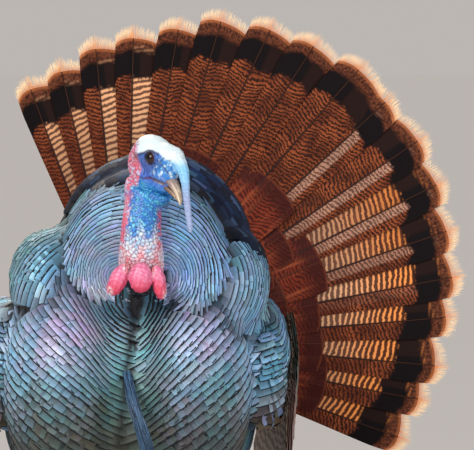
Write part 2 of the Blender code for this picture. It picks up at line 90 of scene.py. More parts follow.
# Tail fan.
TAIL_ROOT = np.array((-0.022, 0.225, 0.420)) + BIRD
TAIL_LENGTH = 0.424
TAIL_FEATHERS = 18
TAIL_HALF = math.radians(65.8)
TAIL_EDGE = math.radians(68.0)
TAIL_SHAPE = (0.742, 0.838, 0.956, 1.008, 0.983, 0.893, 0.798)
TAIL_TILT = math.radians(44.3)
TAIL_BACK = math.radians(12.0)
TAIL_CUP = 0.035

# Wing.
WING_OUT = 0.189
# how far it draws in behind, flares at the floor and tucks in at the quills' roots
WING_HUG, WING_FLARE, WING_TUCK = 0.040, 0.006, 0.014
PRIMARIES = 10
SECONDARIES = 10

# Leg.
STANCE = 0.062

SEED = 11

# faces that meet at more than this angle keep a crisp edge between them
EDGE_ANGLE = math.radians(55.0)


# ---------------------------------------------------------------- arrays and meshes


def unit(v):
    """Rows of vectors brought to length one."""
    return v / np.maximum(np.linalg.norm(v, axis=-1, keepdims=True), 1e-12)


def ease(x, low=0.0, high=1.0):
    """0 below low, 1 above high and a smooth step between."""
    t = np.clip((x - low) / (high - low), 0.0, 1.0)
    return t * t * (3 - 2 * t)


def bell(x, width):
    """1 where x is 0, falling off smoothly over a width on both sides."""
    return np.exp(-(x / width) ** 2)


def blend_rows(a, b, share):
    """Rows of a turned to rows of b by a share from 0 to 1."""
    share = np.asarray(share, float)[..., None]
    return np.asarray(a, float) * (1 - share) + np.asarray(b, float) * share


def lean_x(x, z):
    """The x of a place at height z once the trunk leans."""
    share = np.clip((z - LEAN_START) / LEAN_GROWTH, 0.0, 1.0)
    return x + (AXIS_X + (z - AXIS_Z) * LEAN) * share + FOOT_AXIS_X * (1.0 - share)


def from_middle(points):
    """How far to the bird's left of its leaning middle plane rows of places lie."""
    return points[:, 0] - BIRD[0] - lean_x(0.0, points[:, 2])


def on_bird(p):
    """A place in the frame from unleaned body coordinates."""
    return np.array((lean_x(p[0], p[2]), p[1], p[2])) + BIRD


def at_head(a, b, c):
    """A place from head coordinates: forward, to the bird's right, and up."""
    return HEAD + FORWARD * a + RIGHT * b + UP * c


def in_head(points):
    """Head coordinates of rows of places."""
    away = points - HEAD
    return away @ FORWARD, away @ RIGHT, away @ UP


def through(rows, count):
    """A smooth Catmull-Rom line through a short list of rows."""
    rows = np.array([rows[0], *rows, rows[-1]], float)
    at = np.linspace(0, len(rows) - 3, count)
    i = np.minimum(at.astype(int), len(rows) - 4)
    t = (at - i)[:, None]
    a, b, c, d = rows[i], rows[i + 1], rows[i + 2], rows[i + 3]
    square = 2 * a - 5 * b + 4 * c - d
    cube = 3 * b - a - 3 * c + d
    return 0.5 * (2 * b + (c - a) * t + square * t * t + cube * t ** 3)


def add_values(mesh, values, tones=None):
    """Float and colour attributes on a mesh's points."""
    for key, value in values.items():
        made = mesh.attributes.new(key, "FLOAT", "POINT")
        made.data.foreach_set("value", np.asarray(value, np.float32).ravel())
    for key, value in (tones or {}).items():
        rows = np.ones((len(mesh.vertices), 4), np.float32)
        rows[:, :3] = value
        mesh.attributes.new(key, "FLOAT_COLOR", "POINT").data.foreach_set("color", rows.ravel())


def make_mesh(name, points, quads, threes=None, values=None, tones=None, patch=None):
    """A smooth mesh from arrays, with attributes on its points and an OFBake map."""
    mesh = bpy.data.meshes.new(name)
    points = np.asarray(points, np.float32)
    mesh.vertices.add(len(points))
    mesh.vertices.foreach_set("co", points.ravel())
    groups = [np.asarray(g, np.int32) for g in (quads, threes) if g is not None]
    corners = np.concatenate([g.ravel() for g in groups])
    sizes = np.concatenate([np.full(len(g), g.shape[1], np.int32) for g in groups])
    mesh.loops.add(len(corners))
    mesh.loops.foreach_set("vertex_index", corners)
    mesh.polygons.add(len(sizes))
    starts = np.concatenate(([0], np.cumsum(sizes)[:-1]))
    mesh.polygons.foreach_set("loop_start", starts.astype(np.int32))
    mesh.update(calc_edges=True)
    mesh.polygons.foreach_set("use_smooth", np.ones(len(sizes), bool))
    add_values(mesh, values or {}, tones)
    if patch is not None:
        layer = mesh.uv_layers.new(name="OFBake")
        layer.uv.foreach_set("vector", np.asarray(patch, np.float32)[corners].ravel())
    mesh.validate()
    mesh.set_sharp_from_angle(angle=EDGE_ANGLE)
    return mesh


def add_piece(mesh):
    """A new object that takes its mesh's name."""
    thing = bpy.data.objects.new(mesh.name, mesh)
    bpy.context.scene.collection.objects.link(thing)
    return thing


def finish_piece(thing, material, slot, *nodes):
    """Gives a piece its one material, hangs it from the frame's root and hides the frame's nodes that it
    stands for.
    """
    thing.data.materials.clear()
    thing.data.materials.append(material)
    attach(thing, "root")
    if nodes:
        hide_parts(*nodes)
    return thing


def points_of(mesh, key="co"):
    """Rows of a mesh's places, or of its normals."""
    rows = np.empty(len(mesh.vertices) * 3, np.float32)
    mesh.vertices.foreach_get(key, rows)
    return rows.reshape(-1, 3).astype(float)


def put_points(mesh, rows):
    mesh.vertices.foreach_set("co", np.asarray(rows, np.float32).ravel())
    mesh.update()


def apply(thing, kind, **settings):
    """Adds one modifier, sets it and turns its result into the object's own mesh."""
    modifier = thing.modifiers.new(kind.title(), kind)
    for key, value in settings.items():
        setattr(modifier, key, value)
    with bpy.context.temp_override(object=thing, active_object=thing, selected_objects=[thing]):
        bpy.ops.object.modifier_apply(modifier=modifier.name)


def face_tree(mesh):
    """A mesh's faces, ready for nearest places and rays."""
    return BVHTree.FromPolygons(points_of(mesh).tolist(), [tuple(face.vertices) for face in mesh.polygons])


def welded_copy(node, name, grow):
    """A closed copy of a frame node, its loose triangles joined, swollen by a little."""
    bm = bmesh.new()
    bm.from_mesh(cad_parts[node].data)
    bmesh.ops.remove_doubles(bm, verts=bm.verts, dist=2e-6)
    bm.normal_update()
    for vertex in bm.verts:
        vertex.co += vertex.normal * grow
    mesh = bpy.data.meshes.new(name)
    bm.to_mesh(mesh)
    bm.free()
    return mesh


def melted(name, meshes, voxel, smooth):
    """One closed skin from overlapping or touching meshes."""
    bm = bmesh.new()
    for mesh in meshes:
        bm.from_mesh(mesh)
        bpy.data.meshes.remove(mesh)
    whole = bpy.data.meshes.new(name)
    bm.to_mesh(whole)
    bm.free()
    thing = add_piece(whole)
    apply(thing, "REMESH", mode="VOXEL", voxel_size=voxel, adaptivity=0.0)
    if smooth:
        apply(thing, "SMOOTH", factor=0.5, iterations=smooth)
    return thing


def tube_rows(path, radii, count, flat=1.0, twist=0.0):
    """Rings of points round a path, as an array of (rings, count, 3)."""
    path = np.asarray(path, float)
    along = unit(np.gradient(path, axis=0))
    side = np.cross(along[0], (0.0, 1.0, 0.0))
    if np.linalg.norm(side) < 0.2:
        side = np.cross(along[0], (0.0, 0.0, 1.0))
    turn = np.arange(count) * 2 * math.pi / count + twist
    rings = []
    for p, a, r in zip(path, along, radii):
        side = unit(side - a * np.dot(a, side))
        over = np.cross(a, side)
        rings.append(p + r * (np.cos(turn)[:, None] * side + flat * np.sin(turn)[:, None] * over))
    return np.array(rings)


def loft_faces(rings, count):
    """Quads round a loft and a fan over each end, whose middles are two extra points."""
    i = np.arange(rings - 1)[:, None] * count
    k = np.arange(count)[None, :]
    n = (k + 1) % count
    quads = np.stack([i + k, i + n, i + n + count, i + k + count], -1).reshape(-1, 4)
    first, last = rings * count, rings * count + 1
    k, n = np.arange(count), (np.arange(count) + 1) % count
    top = (rings - 1) * count
    threes = np.concatenate([
        np.stack([n, k, np.full(count, first)], -1),
        np.stack([top + k, top + n, np.full(count, last)], -1),
    ])
    return quads, threes


def loft_points(rings):
    """Points of a closed loft: its rings, then the middle of the first and of the last."""
    flat = rings.reshape(-1, 3)
    return np.concatenate([flat, rings[:1].mean(1), rings[-1:].mean(1)])


def turned_out(mesh):
    """Faces made to point outward on one closed mesh."""
    bm = bmesh.new()
    bm.from_mesh(mesh)
    bmesh.ops.recalc_face_normals(bm, faces=bm.faces)
    if bm.calc_volume(signed=True) < 0:
        bmesh.ops.reverse_faces(bm, faces=bm.faces)
    bm.to_mesh(mesh)
    bm.free()
    return mesh


# ---------------------------------------------------------------- materials


class Sock:
    """One output of a shader node, so that sums of sockets read as plain arithmetic."""

    def __init__(self, tree, socket):
        self.tree = tree
        self.socket = socket

    def math(self, operation, *others):
        node = self.tree.nodes.new("ShaderNodeMath")
        node.operation = operation
        for pin, value in zip(node.inputs, (self, *others)):
            plug(self.tree, pin, value)
        return Sock(self.tree, node.outputs[0])

    def __add__(self, other):
        return self.math("ADD", other)

    def __mul__(self, other):
        return self.math("MULTIPLY", other)

    def __sub__(self, other):
        return self.math("SUBTRACT", other)

    def __rsub__(self, other):
        return (self * -1.0) + other

    __radd__ = __add__
    __rmul__ = __mul__

    def sin(self):
        return self.math("SINE")

    def abs(self):
        return self.math("ABSOLUTE")

    def least(self, other):
        return self.math("MINIMUM", other)

    def most(self, other):
        return self.math("MAXIMUM", other)

    def step(self, low, high):
        """A smooth step from 0 at low to 1 at high, which may run downward."""
        node = self.tree.nodes.new("ShaderNodeMapRange")
        node.interpolation_type = "SMOOTHSTEP"
        for pin, value in zip(node.inputs, (self, low, high, 0.0, 1.0)):
            plug(self.tree, pin, value)
        return Sock(self.tree, node.outputs[0])


def plug(tree, pin, value):
    """Sets a socket to a number or colour, or links it."""
    if isinstance(value, Sock):
        tree.links.new(value.socket, pin)
    elif pin.type == "RGBA" and len(value) == 3:
        pin.default_value = (*value, 1.0)
    else:
        pin.default_value = value


class Nodes:
    """A node tree in the making, with one method for every kind of node."""

    def __init__(self, tree):
        self.tree = tree

    def node(self, kind, output=0, settings=None, **values):
        made = self.tree.nodes.new(kind)
        for key, value in (settings or {}).items():
            setattr(made, key, value)
        for key, value in values.items():
            pin = made.inputs[int(key[1:])] if key[0] == "_" else made.inputs[key.replace("_", " ")]
            plug(self.tree, pin, value)
        return Sock(self.tree, made.outputs[output])


class Finish(Nodes):
    """A material in the making."""

    def __init__(self, name):
        self.material = bpy.data.materials.new(name)
        self.material.use_nodes = True
        super().__init__(self.material.node_tree)
        self.shader = self.tree.nodes["Principled BSDF"]

    def value(self, name):
        """A float attribute of the piece."""
        return self.node("ShaderNodeAttribute", "Fac", {"attribute_name": name})

    def values(self, *names):
        """Several float attributes of the piece."""
        return [self.value(name) for name in names]

    def tone(self):
        """The colour attribute of the piece."""
        return self.node("ShaderNodeAttribute", "Color", {"attribute_name": "tone"})

    def place(self):
        return self.node("ShaderNodeTexCoord", "Object")

    def noise(self, scale, detail=3.0, vector=None, rough=0.55):
        return self.node("ShaderNodeTexNoise", "Fac", Vector=vector or self.place(), Scale=scale,
                         Detail=detail, Roughness=rough)

    def noise_on(self, detail, x, y, z=0.0):
        """Noise over the piece's own values instead of its places."""
        return self.noise(1.0, detail, self.node("ShaderNodeCombineXYZ", 0, X=x, Y=y, Z=z))

    def stretched(self, detail, *scale):
        """Noise drawn out along one direction of the object."""
        spread = self.node("ShaderNodeMapping", 0, Vector=self.place(), Scale=scale)
        return self.noise(1.0, detail, spread)

    def cells(self, scale, feature="F1"):
        return self.node("ShaderNodeTexVoronoi", "Distance", {"feature": feature}, Vector=self.place(),
                         Scale=scale)

    def mix(self, share, a, b, blend="MIX"):
        """Colour a turned to colour b by a share."""
        kind = {"data_type": "RGBA", "blend_type": blend}
        return self.node("ShaderNodeMix", 2, kind, _0=share, _6=a, _7=b)

    def dyed(self, tone, *factors):
        """A colour multiplied by three factors."""
        return self.mix(1.0, tone, factors, "MULTIPLY")

    def bump(self, height, strength, distance):
        return self.node("ShaderNodeBump", 0, Strength=strength, Distance=distance, Height=height)

    def done(self, **values):
        for key, value in values.items():
            plug(self.tree, self.shader.inputs[key.replace("_", " ")], value)
        return self.material


class Growth(Nodes):
    """A geometry tree in the making, whose sizes are named inputs given as (socket kind, default)."""

    def __init__(self, name, **inputs):
        super().__init__(bpy.data.node_groups.new(name, "GeometryNodeTree"))
        face = self.tree.interface
        face.new_socket(name="Geometry", in_out="INPUT", socket_type="NodeSocketGeometry")
        face.new_socket(name="Geometry", in_out="OUTPUT", socket_type="NodeSocketGeometry")
        for label, (kind, default) in inputs.items():
            pin = face.new_socket(name=label, in_out="INPUT", socket_type="NodeSocket" + kind)
            if default is not None:
                pin.default_value = default
        face.new_socket(name="Material", in_out="INPUT", socket_type="NodeSocketMaterial")
        self.start = self.tree.nodes.new("NodeGroupInput")

    def given(self, label):
        return Sock(self.tree, self.start.outputs[label])

    def attribute(self, name, kind="FLOAT"):
        return self.node("GeometryNodeInputNamedAttribute", "Attribute", {"data_type": kind}, Name=name)

    def chance(self, low, high, key):
        """A random number from low to high for each value of a key, from the tree's seed."""
        return self.node("FunctionNodeRandomValue", 1, {"data_type": "FLOAT"}, _2=low, _3=high, ID=key,
                         Seed=self.given("Seed"))

    def done(self, geometry):
        """Ends the tree in smooth, real geometry with its material."""
        whole = self.node("GeometryNodeRealizeInstances", Geometry=geometry)
        whole = self.node("GeometryNodeSetShadeSmooth", Geometry=whole, Shade_Smooth=True)
        whole = self.node("GeometryNodeSetMaterial", Geometry=whole, Material=self.given("Material"))
        end = self.tree.nodes.new("NodeGroupOutput")
        self.tree.links.new(whole.socket, end.inputs[0])
        return self.tree


def grown(source, tree, material, slot, nodes=(), **inputs):
    """A piece made by a geometry tree from a source mesh, as a plain mesh with its OFBake map."""
    thing = add_piece(source)
    modifier = thing.modifiers.new("growth", "NODES")
    modifier.node_group = tree
    inputs["Material"] = material
    for item in tree.interface.items_tree:
        if item.item_type == "SOCKET" and item.in_out == "INPUT" and item.name in inputs:
            modifier[item.identifier] = inputs[item.name]
    depsgraph = bpy.context.evaluated_depsgraph_get()
    made = bpy.data.meshes.new_from_object(thing.evaluated_get(depsgraph), preserve_all_data_layers=True,
                                           depsgraph=depsgraph)
    thing.modifiers.clear()
    thing.data = made
    made.name = thing.name
    corners = np.empty(len(made.loops), np.int32)
    made.loops.foreach_get("vertex_index", corners)
    spot = []
    for key in ("spot_u", "spot_v"):
        row = np.empty(len(made.vertices), np.float32)
        made.attributes[key].data.foreach_get("value", row)
        spot.append(row[corners])
    for layer in list(made.uv_layers):
        made.uv_layers.remove(layer)
    made.uv_layers.new(name="OFBake").uv.foreach_set("vector", np.stack(spot, 1).ravel())
    return finish_piece(thing, material, slot, *nodes)


def line_mesh(name, lines, thick, values, spots):
    """A mesh of bare polylines (count, points, 3), with what each strand needs on its points."""
    count, steps = lines.shape[:2]
    mesh = bpy.data.meshes.new(name)
    mesh.vertices.add(count * steps)
    mesh.vertices.foreach_set("co", lines.astype(np.float32).ravel())
    start = (np.arange(count)[:, None] * steps + np.arange(steps - 1)).ravel()
    mesh.edges.add(len(start))
    mesh.edges.foreach_set("vertices", np.stack([start, start + 1], 1).astype(np.int32).ravel())
    along = np.tile(np.linspace(0, 1, steps), count)
    each = lambda v: np.repeat(np.asarray(v, float), steps)
    rows = {"thick": np.asarray(thick).ravel(), "along": along, "strand": each(np.arange(count)),
            "spot_u": each(spots[:, 0]), "spot_v": each(spots[:, 1]) + PATCH * (along - 0.5)}
    rows.update({key: each(v) for key, v in values.items()})
    add_values(mesh, rows)
    mesh.update()
    return mesh


def strand_tree():
    """Thin tapering tubes along polylines."""
    g = Growth("strands", Thickness=("Float", 0.0003), Sides=("Int", 3), Seed=("Int", SEED))
    curves = g.node("GeometryNodeMeshToCurve", Mesh=g.given("Geometry"))
    uneven = g.chance(0.8, 1.2, g.attribute("strand"))
    ring = g.node("GeometryNodeCurvePrimitiveCircle", Resolution=g.given("Sides"), Radius=1.0)
    tubes = g.node("GeometryNodeCurveToMesh", Curve=curves, Profile_Curve=ring, Fill_Caps=True,
                   Scale=g.attribute("thick") * g.given("Thickness") * uneven)
    return g.done(tubes)


def scute_tree():
    """Low domed plates that face and lie as their points say."""
    g = Growth("scutes", Width=("Float", 0.004), Length=("Float", 0.004), Height=("Float", 0.001),
               Seed=("Int", SEED))
    dome = g.node("GeometryNodeMeshUVSphere", Segments=8, Rings=5, Radius=0.5)
    stretch = g.node("ShaderNodeCombineXYZ", X=g.given("Width"), Y=g.given("Length"), Z=g.given("Height"))
    dome = g.node("GeometryNodeTransform", Geometry=dome, Scale=stretch)
    facing, lie = (g.attribute(name, "FLOAT_VECTOR") for name in ("facing", "lie"))
    turn = g.node("FunctionNodeAlignRotationToVector", 0, {"axis": "Z"}, Vector=facing)
    turn = g.node("FunctionNodeAlignRotationToVector", 0, {"axis": "Y", "pivot_axis": "Z"}, Rotation=turn,
                  Vector=lie)
    size = g.attribute("size") * g.chance(0.92, 1.08, g.attribute("strand"))
    many = g.node("GeometryNodeInstanceOnPoints", Points=g.given("Geometry"), Instance=dome, Rotation=turn,
                  Scale=g.node("ShaderNodeCombineXYZ", X=size, Y=size, Z=size))
    return g.done(many)


def rgb(red, green, blue):
    """A linear colour from display values of 0 to 255."""
    return tuple(((v / 255 + 0.055) / 1.055) ** 2.4 if v > 10 else v / 255 / 12.92
                 for v in (red, green, blue))


# ---------------------------------------------------------------- the skin

BODY_NODES = ("trunk", "thigh_L", "thigh_R", "wing_arm_L", "wing_arm_R")
HEAD_NODES = ("head", "neck", "snood", "wattle_M", "wattle_R", "wattle_L")
COAT_DEPTH = 0.006
BODY_VOXEL = 0.006
HEAD_VOXEL = 0.00085
# how far solids swell before they are joined, so that those that touch melt together
BODY_SWELL = 0.0008
HEAD_SWELL = 0.0004
LEG_SWELL = 0.0003


def bare_body():
    """The trunk, thighs and wing arms as one surface, lower than the frame by the coat's depth."""
    meshes = [welded_copy(node, node + "_flesh", BODY_SWELL) for node in BODY_NODES]
    body = melted("body_skin", meshes, BODY_VOXEL, smooth=5)
    put_points(body.data, points_of(body.data) - points_of(body.data, "normal") * COAT_DEPTH)
    return body


class Ground:
    """The bare body as a surface on which feathers are laid."""

    def __init__(self, mesh):
        self.points = points_of(mesh)
        self.normals = points_of(mesh, "normal")
        self.faces = [tuple(face.vertices) for face in mesh.polygons]
        self.tree = BVHTree.FromPolygons(self.points.tolist(), self.faces)

    def settle(self, hits):
        """Places and smooth normals from raw hits, and which of them struck anything."""
        found = np.array([hit[0] is not None for hit in hits])
        places = np.array([hit[0] if hit[0] is not None else (0.0, 0.0, 0.0) for hit in hits], float)
        corners = np.array([self.faces[hit[2]] if hit[0] is not None else self.faces[0] for hit in hits])
        apart = np.linalg.norm(self.points[corners] - places[:, None], axis=2)
        weight = 1.0 / (apart ** 2 + 1e-8)
        return places, unit((self.normals[corners] * weight[..., None]).sum(1)), found

    def below(self, rows):
        return self.settle([self.tree.find_nearest(Vector(p)) for p in rows])

    def struck(self, origin, aims):
        origin = Vector(origin)
        return self.settle([self.tree.ray_cast(origin, Vector(a)) for a in aims])


# ---------------------------------------------------------------- small body feathers

# where a feather's cross rows and columns lie, its width at each row, and how its corners round
FEATHER_ROWS = np.array((0.0, 0.27, 0.52, 0.74, 0.90, 1.0))
FEATHER_WIDTHS = np.array((0.25, 0.72, 0.95, 1.0, 1.0, 0.93))
FEATHER_COLUMNS = np.array((-1.0, -0.60, 0.0, 0.60, 1.0))
TIP_ROUNDING = 0.045
# how much one edge of a feather stands above the other, so that neighbours lie like tiles
TILE = 0.00028
# size of one small feather's or bristle's place on the OFBake map
PATCH = 0.003
# height of a feather's root over the bare body
ROOT_LIFT = 0.0012


def feather_faces(rows, columns):
    """Faces of one closed feather: a cambered top, a flat underside and both ends."""
    quads = []
    threes = []
    for k in range(rows - 1):
        a = k * columns
        for c in range(columns - 1):
            quads.append((a + c, a + c + 1, a + c + 1 + columns, a + c + columns))
        last = columns - 1
        quads.append((a, a + columns, a + last + columns, a + last))
    top = (rows - 1) * columns
    for c in range(1, columns - 1):
        threes.append((0, c + 1, c))
        threes.append((top, top + c, top + c + 1))
    return np.array(quads), np.array(threes)


def tiled(faces, step, count):
    """The same faces for a number of copies whose points follow each other."""
    return (faces[None] + (np.arange(count) * step)[:, None, None]).reshape(-1, faces.shape[1])


def laid_feathers(ground, roots, aims, length, width, rise, curl, swirl):
    """Points, along and across values of feathers that follow the ground from their roots."""
    place, normal, _ = ground.below(roots)
    aim = unit(aims - normal * (aims * normal).sum(1, keepdims=True))
    count = len(roots)
    rows, columns = len(FEATHER_ROWS), len(FEATHER_COLUMNS)
    out = np.empty((count, rows, columns, 3))
    before = 0.0
    for k, t in enumerate(FEATHER_ROWS):
        if k:
            place, normal, _ = ground.below(place + aim * (length * (t - before))[:, None])
            aim = unit(aim - normal * (aim * normal).sum(1, keepdims=True))
            before = t
        side = np.cross(normal, aim)
        height = ROOT_LIFT + rise * t ** 1.25 + curl * max(0.0, t - 0.6) ** 2
        spine = place + normal * height[:, None]
        for c, u in enumerate(FEATHER_COLUMNS):
            reach = width * 0.5 * FEATHER_WIDTHS[k] * u
            camber = width * (0.012 * (1 - u * u) - 0.014 * u * u) + (TILE + swirl) * u * t
            back = length * (TIP_ROUNDING * abs(u) ** 3 * t)
            out[:, k, c] = (spine + side * reach[:, None] + normal * camber[:, None]
                            - aim * back[:, None])
    along = np.tile(np.repeat(FEATHER_ROWS, columns), count)
    across = np.tile(np.tile(FEATHER_COLUMNS, rows), count)
    return out.reshape(-1, 3), along, across


def feather_mesh(name, ground, roots, aims, length, width, rise, tone, edge, spot, curl, seed):
    """One mesh of many small feathers.

    edge is how dark and wide each tip's rim is, and spot is the root's place on the map.
    """
    rng = np.random.default_rng(SEED + seed)
    count = len(roots)
    swirl = rng.normal(0.0, 0.00012, count)
    points, along, across = laid_feathers(ground, roots, aims, length, width, rise, curl, swirl)
    rows, columns = len(FEATHER_ROWS), len(FEATHER_COLUMNS)
    quads, threes = feather_faces(rows, columns)
    size = rows * columns
    each = lambda value: np.repeat(value, size, axis=0)
    spots = each(spot) + PATCH * np.stack([across * 0.5, along - 0.5], 1)
    return make_mesh(
        name, points, tiled(quads, size, count), tiled(threes, size, count),
        values={"along": along, "across": across, "pick": each(rng.random(count)), "edge": each(edge)},
        # painted shade darkens the tone along the groove between the breast's lobes
        tones={"tone": each(tone) * (1 - 0.93 * groove_shade(points))[:, None]}, patch=spots)


# ---------------------------------------------------------------- where body feathers grow

SIDES = {1.0: "_L", -1.0: "_R", 0.0: ""}
# each swelling of the body: (part of the coat, centre, radii, paired on both sides)
SWELLINGS = (
    ("trunk", (0.000, 0.000, 0.385), (0.146, 0.230, 0.185), False),
    ("trunk", (0.000, 0.015, 0.285), (0.112, 0.160, 0.105), False),
    ("ruff", (0.003, -0.132, 0.534), (0.091, 0.078, 0.091), False),
    ("mantle", (0.011, -0.055, 0.530), (0.110, 0.098, 0.112), False),
    ("trunk", (0.004, 0.070, 0.465), (0.118, 0.140, 0.112), False),
    ("trunk", (-0.002, 0.165, 0.425), (0.082, 0.095, 0.085), False),
    ("trunk", (-0.002, 0.185, 0.335), (0.088, 0.085, 0.100), False),
    ("trunk", (-0.004, 0.150, 0.265), (0.066, 0.075, 0.070), False),
    ("breast", (0.066, -0.150, 0.385), (0.071, 0.108, 0.122), True),
    ("breast", (0.056, -0.112, 0.300), (0.066, 0.100, 0.097), True),
    ("shoulder", (0.100, -0.100, 0.500), (0.045, 0.085, 0.060), True),
    ("arm", (0.143, -0.035, 0.418), (0.033, 0.112, 0.066), True),
    ("arm", (0.148, -0.085, 0.385), (0.028, 0.050, 0.052), True),
    ("arm", (0.128, 0.050, 0.430), (0.030, 0.085, 0.046), True),
    ("thigh", (0.070, -0.002, 0.246), (0.052, 0.074, 0.068), True),
    ("thigh", (0.064, 0.020, 0.204), (0.032, 0.042, 0.047), True),
    ("thigh", (0.062, 0.032, 0.184), (0.018, 0.022, 0.027), True),
)


def owners(places):
    """Which part of the coat each place on the skin belongs to, as part names with their side."""
    best = np.full(len(places), 9.0)
    names = np.full(len(places), "", dtype="U12")
    for part, centre, radii, paired in SWELLINGS:
        for side in ((1.0, -1.0) if paired else (0.0,)):
            middle = on_bird((centre[0] * (side or 1.0), centre[1], centre[2]))
            depth = np.linalg.norm((places - middle) / (np.array(radii) - COAT_DEPTH), axis=1)
            better = depth < best
            best[better] = depth[better]
            names[better] = part + SIDES[side]
    x = from_middle(places)
    front = (names == "trunk") & (places[:, 1] < BREAST_BACK + BIRD[1]) & (places[:, 2] > BELLY_Z)
    names[front] = np.where(x[front] > 0, "breast_L", "breast_R")
    names = front_owners(places, names, x)
    names[np.char.startswith(names, "shoulder") & (places[:, 1] > SHOULDER_BACK + BIRD[1])] = "trunk"
    halves = np.where(places[:, 0] > BIRD[0] + RUFF_PARTING, "ruff_L", "ruff_R")
    return np.where(names == "ruff", halves, names)


# the two swellings of the ruff as the front shows them: middle x and z, half width and half height
RUFF_DISCS = ((-0.0385, 0.541, 0.041, 0.060), (0.0440, 0.532, 0.046, 0.063))
RUFF_NAPE = (0.045, 0.512, 0.600)
RUFF_PARTING = 0.001
# where the breast ends behind and below, where the shoulders end behind, and where the front begins
BREAST_BACK = -0.12
BELLY_Z = 0.22
SHOULDER_BACK = -0.086
FRONT_Y = -0.035
FRONT_Z = 0.43
# lower edges of the mantle and of the shoulders across the front, as (x, z)
MANTLE_FLOOR = ((-0.10, 0.572), (-0.05, 0.566), (0.05, 0.556), (0.085, 0.545), (0.12, 0.530))
SHOULDER_FLOOR = (
    (-0.12, 0.476), (-0.080, 0.486), (-0.073, 0.700), (0.060, 0.700), (0.068, 0.490), (0.088, 0.458),
    (0.13, 0.448))


def front_owners(places, names, x):
    """The parts of the coat that meet on the front, by their outlines there."""
    across, up = places[:, 0] - BIRD[0], places[:, 2]
    front = (places[:, 1] < FRONT_Y + BIRD[1]) & (up > FRONT_Z)
    front &= ~np.char.startswith(names, "arm") & ~np.char.startswith(names, "thigh")
    ruff = (np.abs(across) < RUFF_NAPE[0]) & (up > RUFF_NAPE[1]) & (up < RUFF_NAPE[2])
    for middle_x, middle_z, wide, high in RUFF_DISCS:
        ruff |= np.hypot((across - middle_x) / wide, (up - middle_z) / high) < 1
    floors = [np.interp(across, *np.array(line).T) for line in (MANTLE_FLOOR, SHOULDER_FLOOR)]
    side = np.where(x > 0, "_L", "_R")
    found = np.char.add("breast", side)
    found = np.where(up > floors[1], np.char.add("shoulder", side), found)
    found = np.where(up > floors[0], "mantle", found)
    found = np.where(ruff, "ruff", found)
    return np.where(front, found, names)


def pole_frame(pole):
    """Three directions at right angles, the first along the pole."""
    pole = unit(np.array(pole, float))
    side = unit(np.cross(pole, (0.0, 0.0, 1.0) if abs(pole[2]) < 0.9 else (0.0, 1.0, 0.0)))
    return pole, side, np.cross(pole, side)


def ring_aims(axes, theta, phi):
    """Directions on a cone of half angle theta round a pole, at turns phi."""
    pole, side, over = axes
    around = np.cos(phi)[:, None] * side + np.sin(phi)[:, None] * over
    return math.cos(theta) * pole + math.sin(theta) * around


# how far feathers stray from their rows, in gaps between rows, on the back and elsewhere
LOOSE_ROWS, EVEN_ROWS = 0.28, 0.045


def feather_rows(ground, tag, centre, pole, first, last, gap, pitch, seed):
    """Feather roots in rings round a lobe's pole, whose rows run outward over the skin.

    gap and pitch give the space between rows and between feathers at a share of the way out; the rows
    are spaced where they cross the part of the coat that tag names.
    """
    rng = np.random.default_rng(SEED + seed)
    stray = LOOSE_ROWS if tag in ("trunk", "mantle") else EVEN_ROWS
    axes = pole_frame(pole)
    probe = np.linspace(0, 2 * math.pi, 72, endpoint=False)
    theta = math.radians(first)
    step = 0.05
    roots, aims, shares, turns = [], [], [], []
    before, _, seen = ground.struck(centre, ring_aims(axes, theta, probe))
    row = 0
    while theta < math.radians(last):
        share = (theta - math.radians(first)) / math.radians(last - first)
        around = np.linalg.norm(np.roll(before, -1, 0) - before, axis=1)
        length = np.concatenate(([0.0], np.cumsum(around)))
        number = max(5, int(length[-1] / pitch(share)))
        at = (np.arange(number) + 0.5 * (row % 2) + rng.normal(0, 0.07, number)) * length[-1] / number
        phi = np.interp(at % length[-1], length, np.append(probe, 2 * math.pi))
        slip = theta + rng.normal(0, stray, number) * step
        directions = np.array([ring_aims(axes, s, np.array([f]))[0] for s, f in zip(slip, phi)])
        places, _, found = ground.struck(centre, directions)
        outward = np.array([ring_aims(axes, s + math.pi / 2, np.array([f]))[0]
                            for s, f in zip(slip, phi)])
        roots.append(places[found])
        aims.append(outward[found])
        shares.append(np.full(found.sum(), share))
        turns.append(phi[found])
        for _ in range(2):
            after, _, seen = ground.struck(centre, ring_aims(axes, theta + step, probe))
            mine = owners(before) == tag
            run = np.median(np.linalg.norm(after - before, axis=1)[mine if mine.any() else seen])
            step = min(0.35, step * gap(share) / max(run, 1e-5))
        theta += step
        before, _, seen = ground.struck(centre, ring_aims(axes, theta, probe))
        row += 1
    return [np.concatenate(rows) for rows in (roots, aims, shares, turns)]


def ramp(*stops):
    """A function of a share that runs smoothly through (share, value) stops."""
    at = [s[0] for s in stops]
    return lambda share: np.interp(share, at, [s[1] for s in stops])


def colour_ramp(share, *stops):
    """Rows of colour for rows of shares, through (share, colour) stops."""
    at = [s[0] for s in stops]
    colours = np.array([s[1] for s in stops])
    return np.stack([np.interp(share, at, colours[:, i]) for i in range(3)], -1)


# ---------------------------------------------------------------- colours of the plumage

SLATE = rgb(106, 134, 160)
SKY = rgb(146, 178, 206)
TEAL = rgb(74, 128, 156)
SEA = rgb(90, 136, 134)
MAUVE = rgb(142, 126, 160)
LILAC = rgb(168, 158, 192)
MOSS = rgb(104, 108, 92)
OLIVE = rgb(120, 124, 92)
COPPER = rgb(150, 108, 90)
BRONZE = rgb(96, 78, 62)
PEARL = rgb(170, 178, 190)
INK = rgb(16, 20, 34)
NAVY = rgb(22, 40, 70)
UMBER = rgb(58, 44, 36)
CHESTNUT = rgb(122, 58, 30)
# near-black painted as shade on the part of a small feather that the next row covers
ROOT_SHADE_BLACK = (0.010, 0.010, 0.012)
RIM_BLACK = (0.004, 0.005, 0.008)


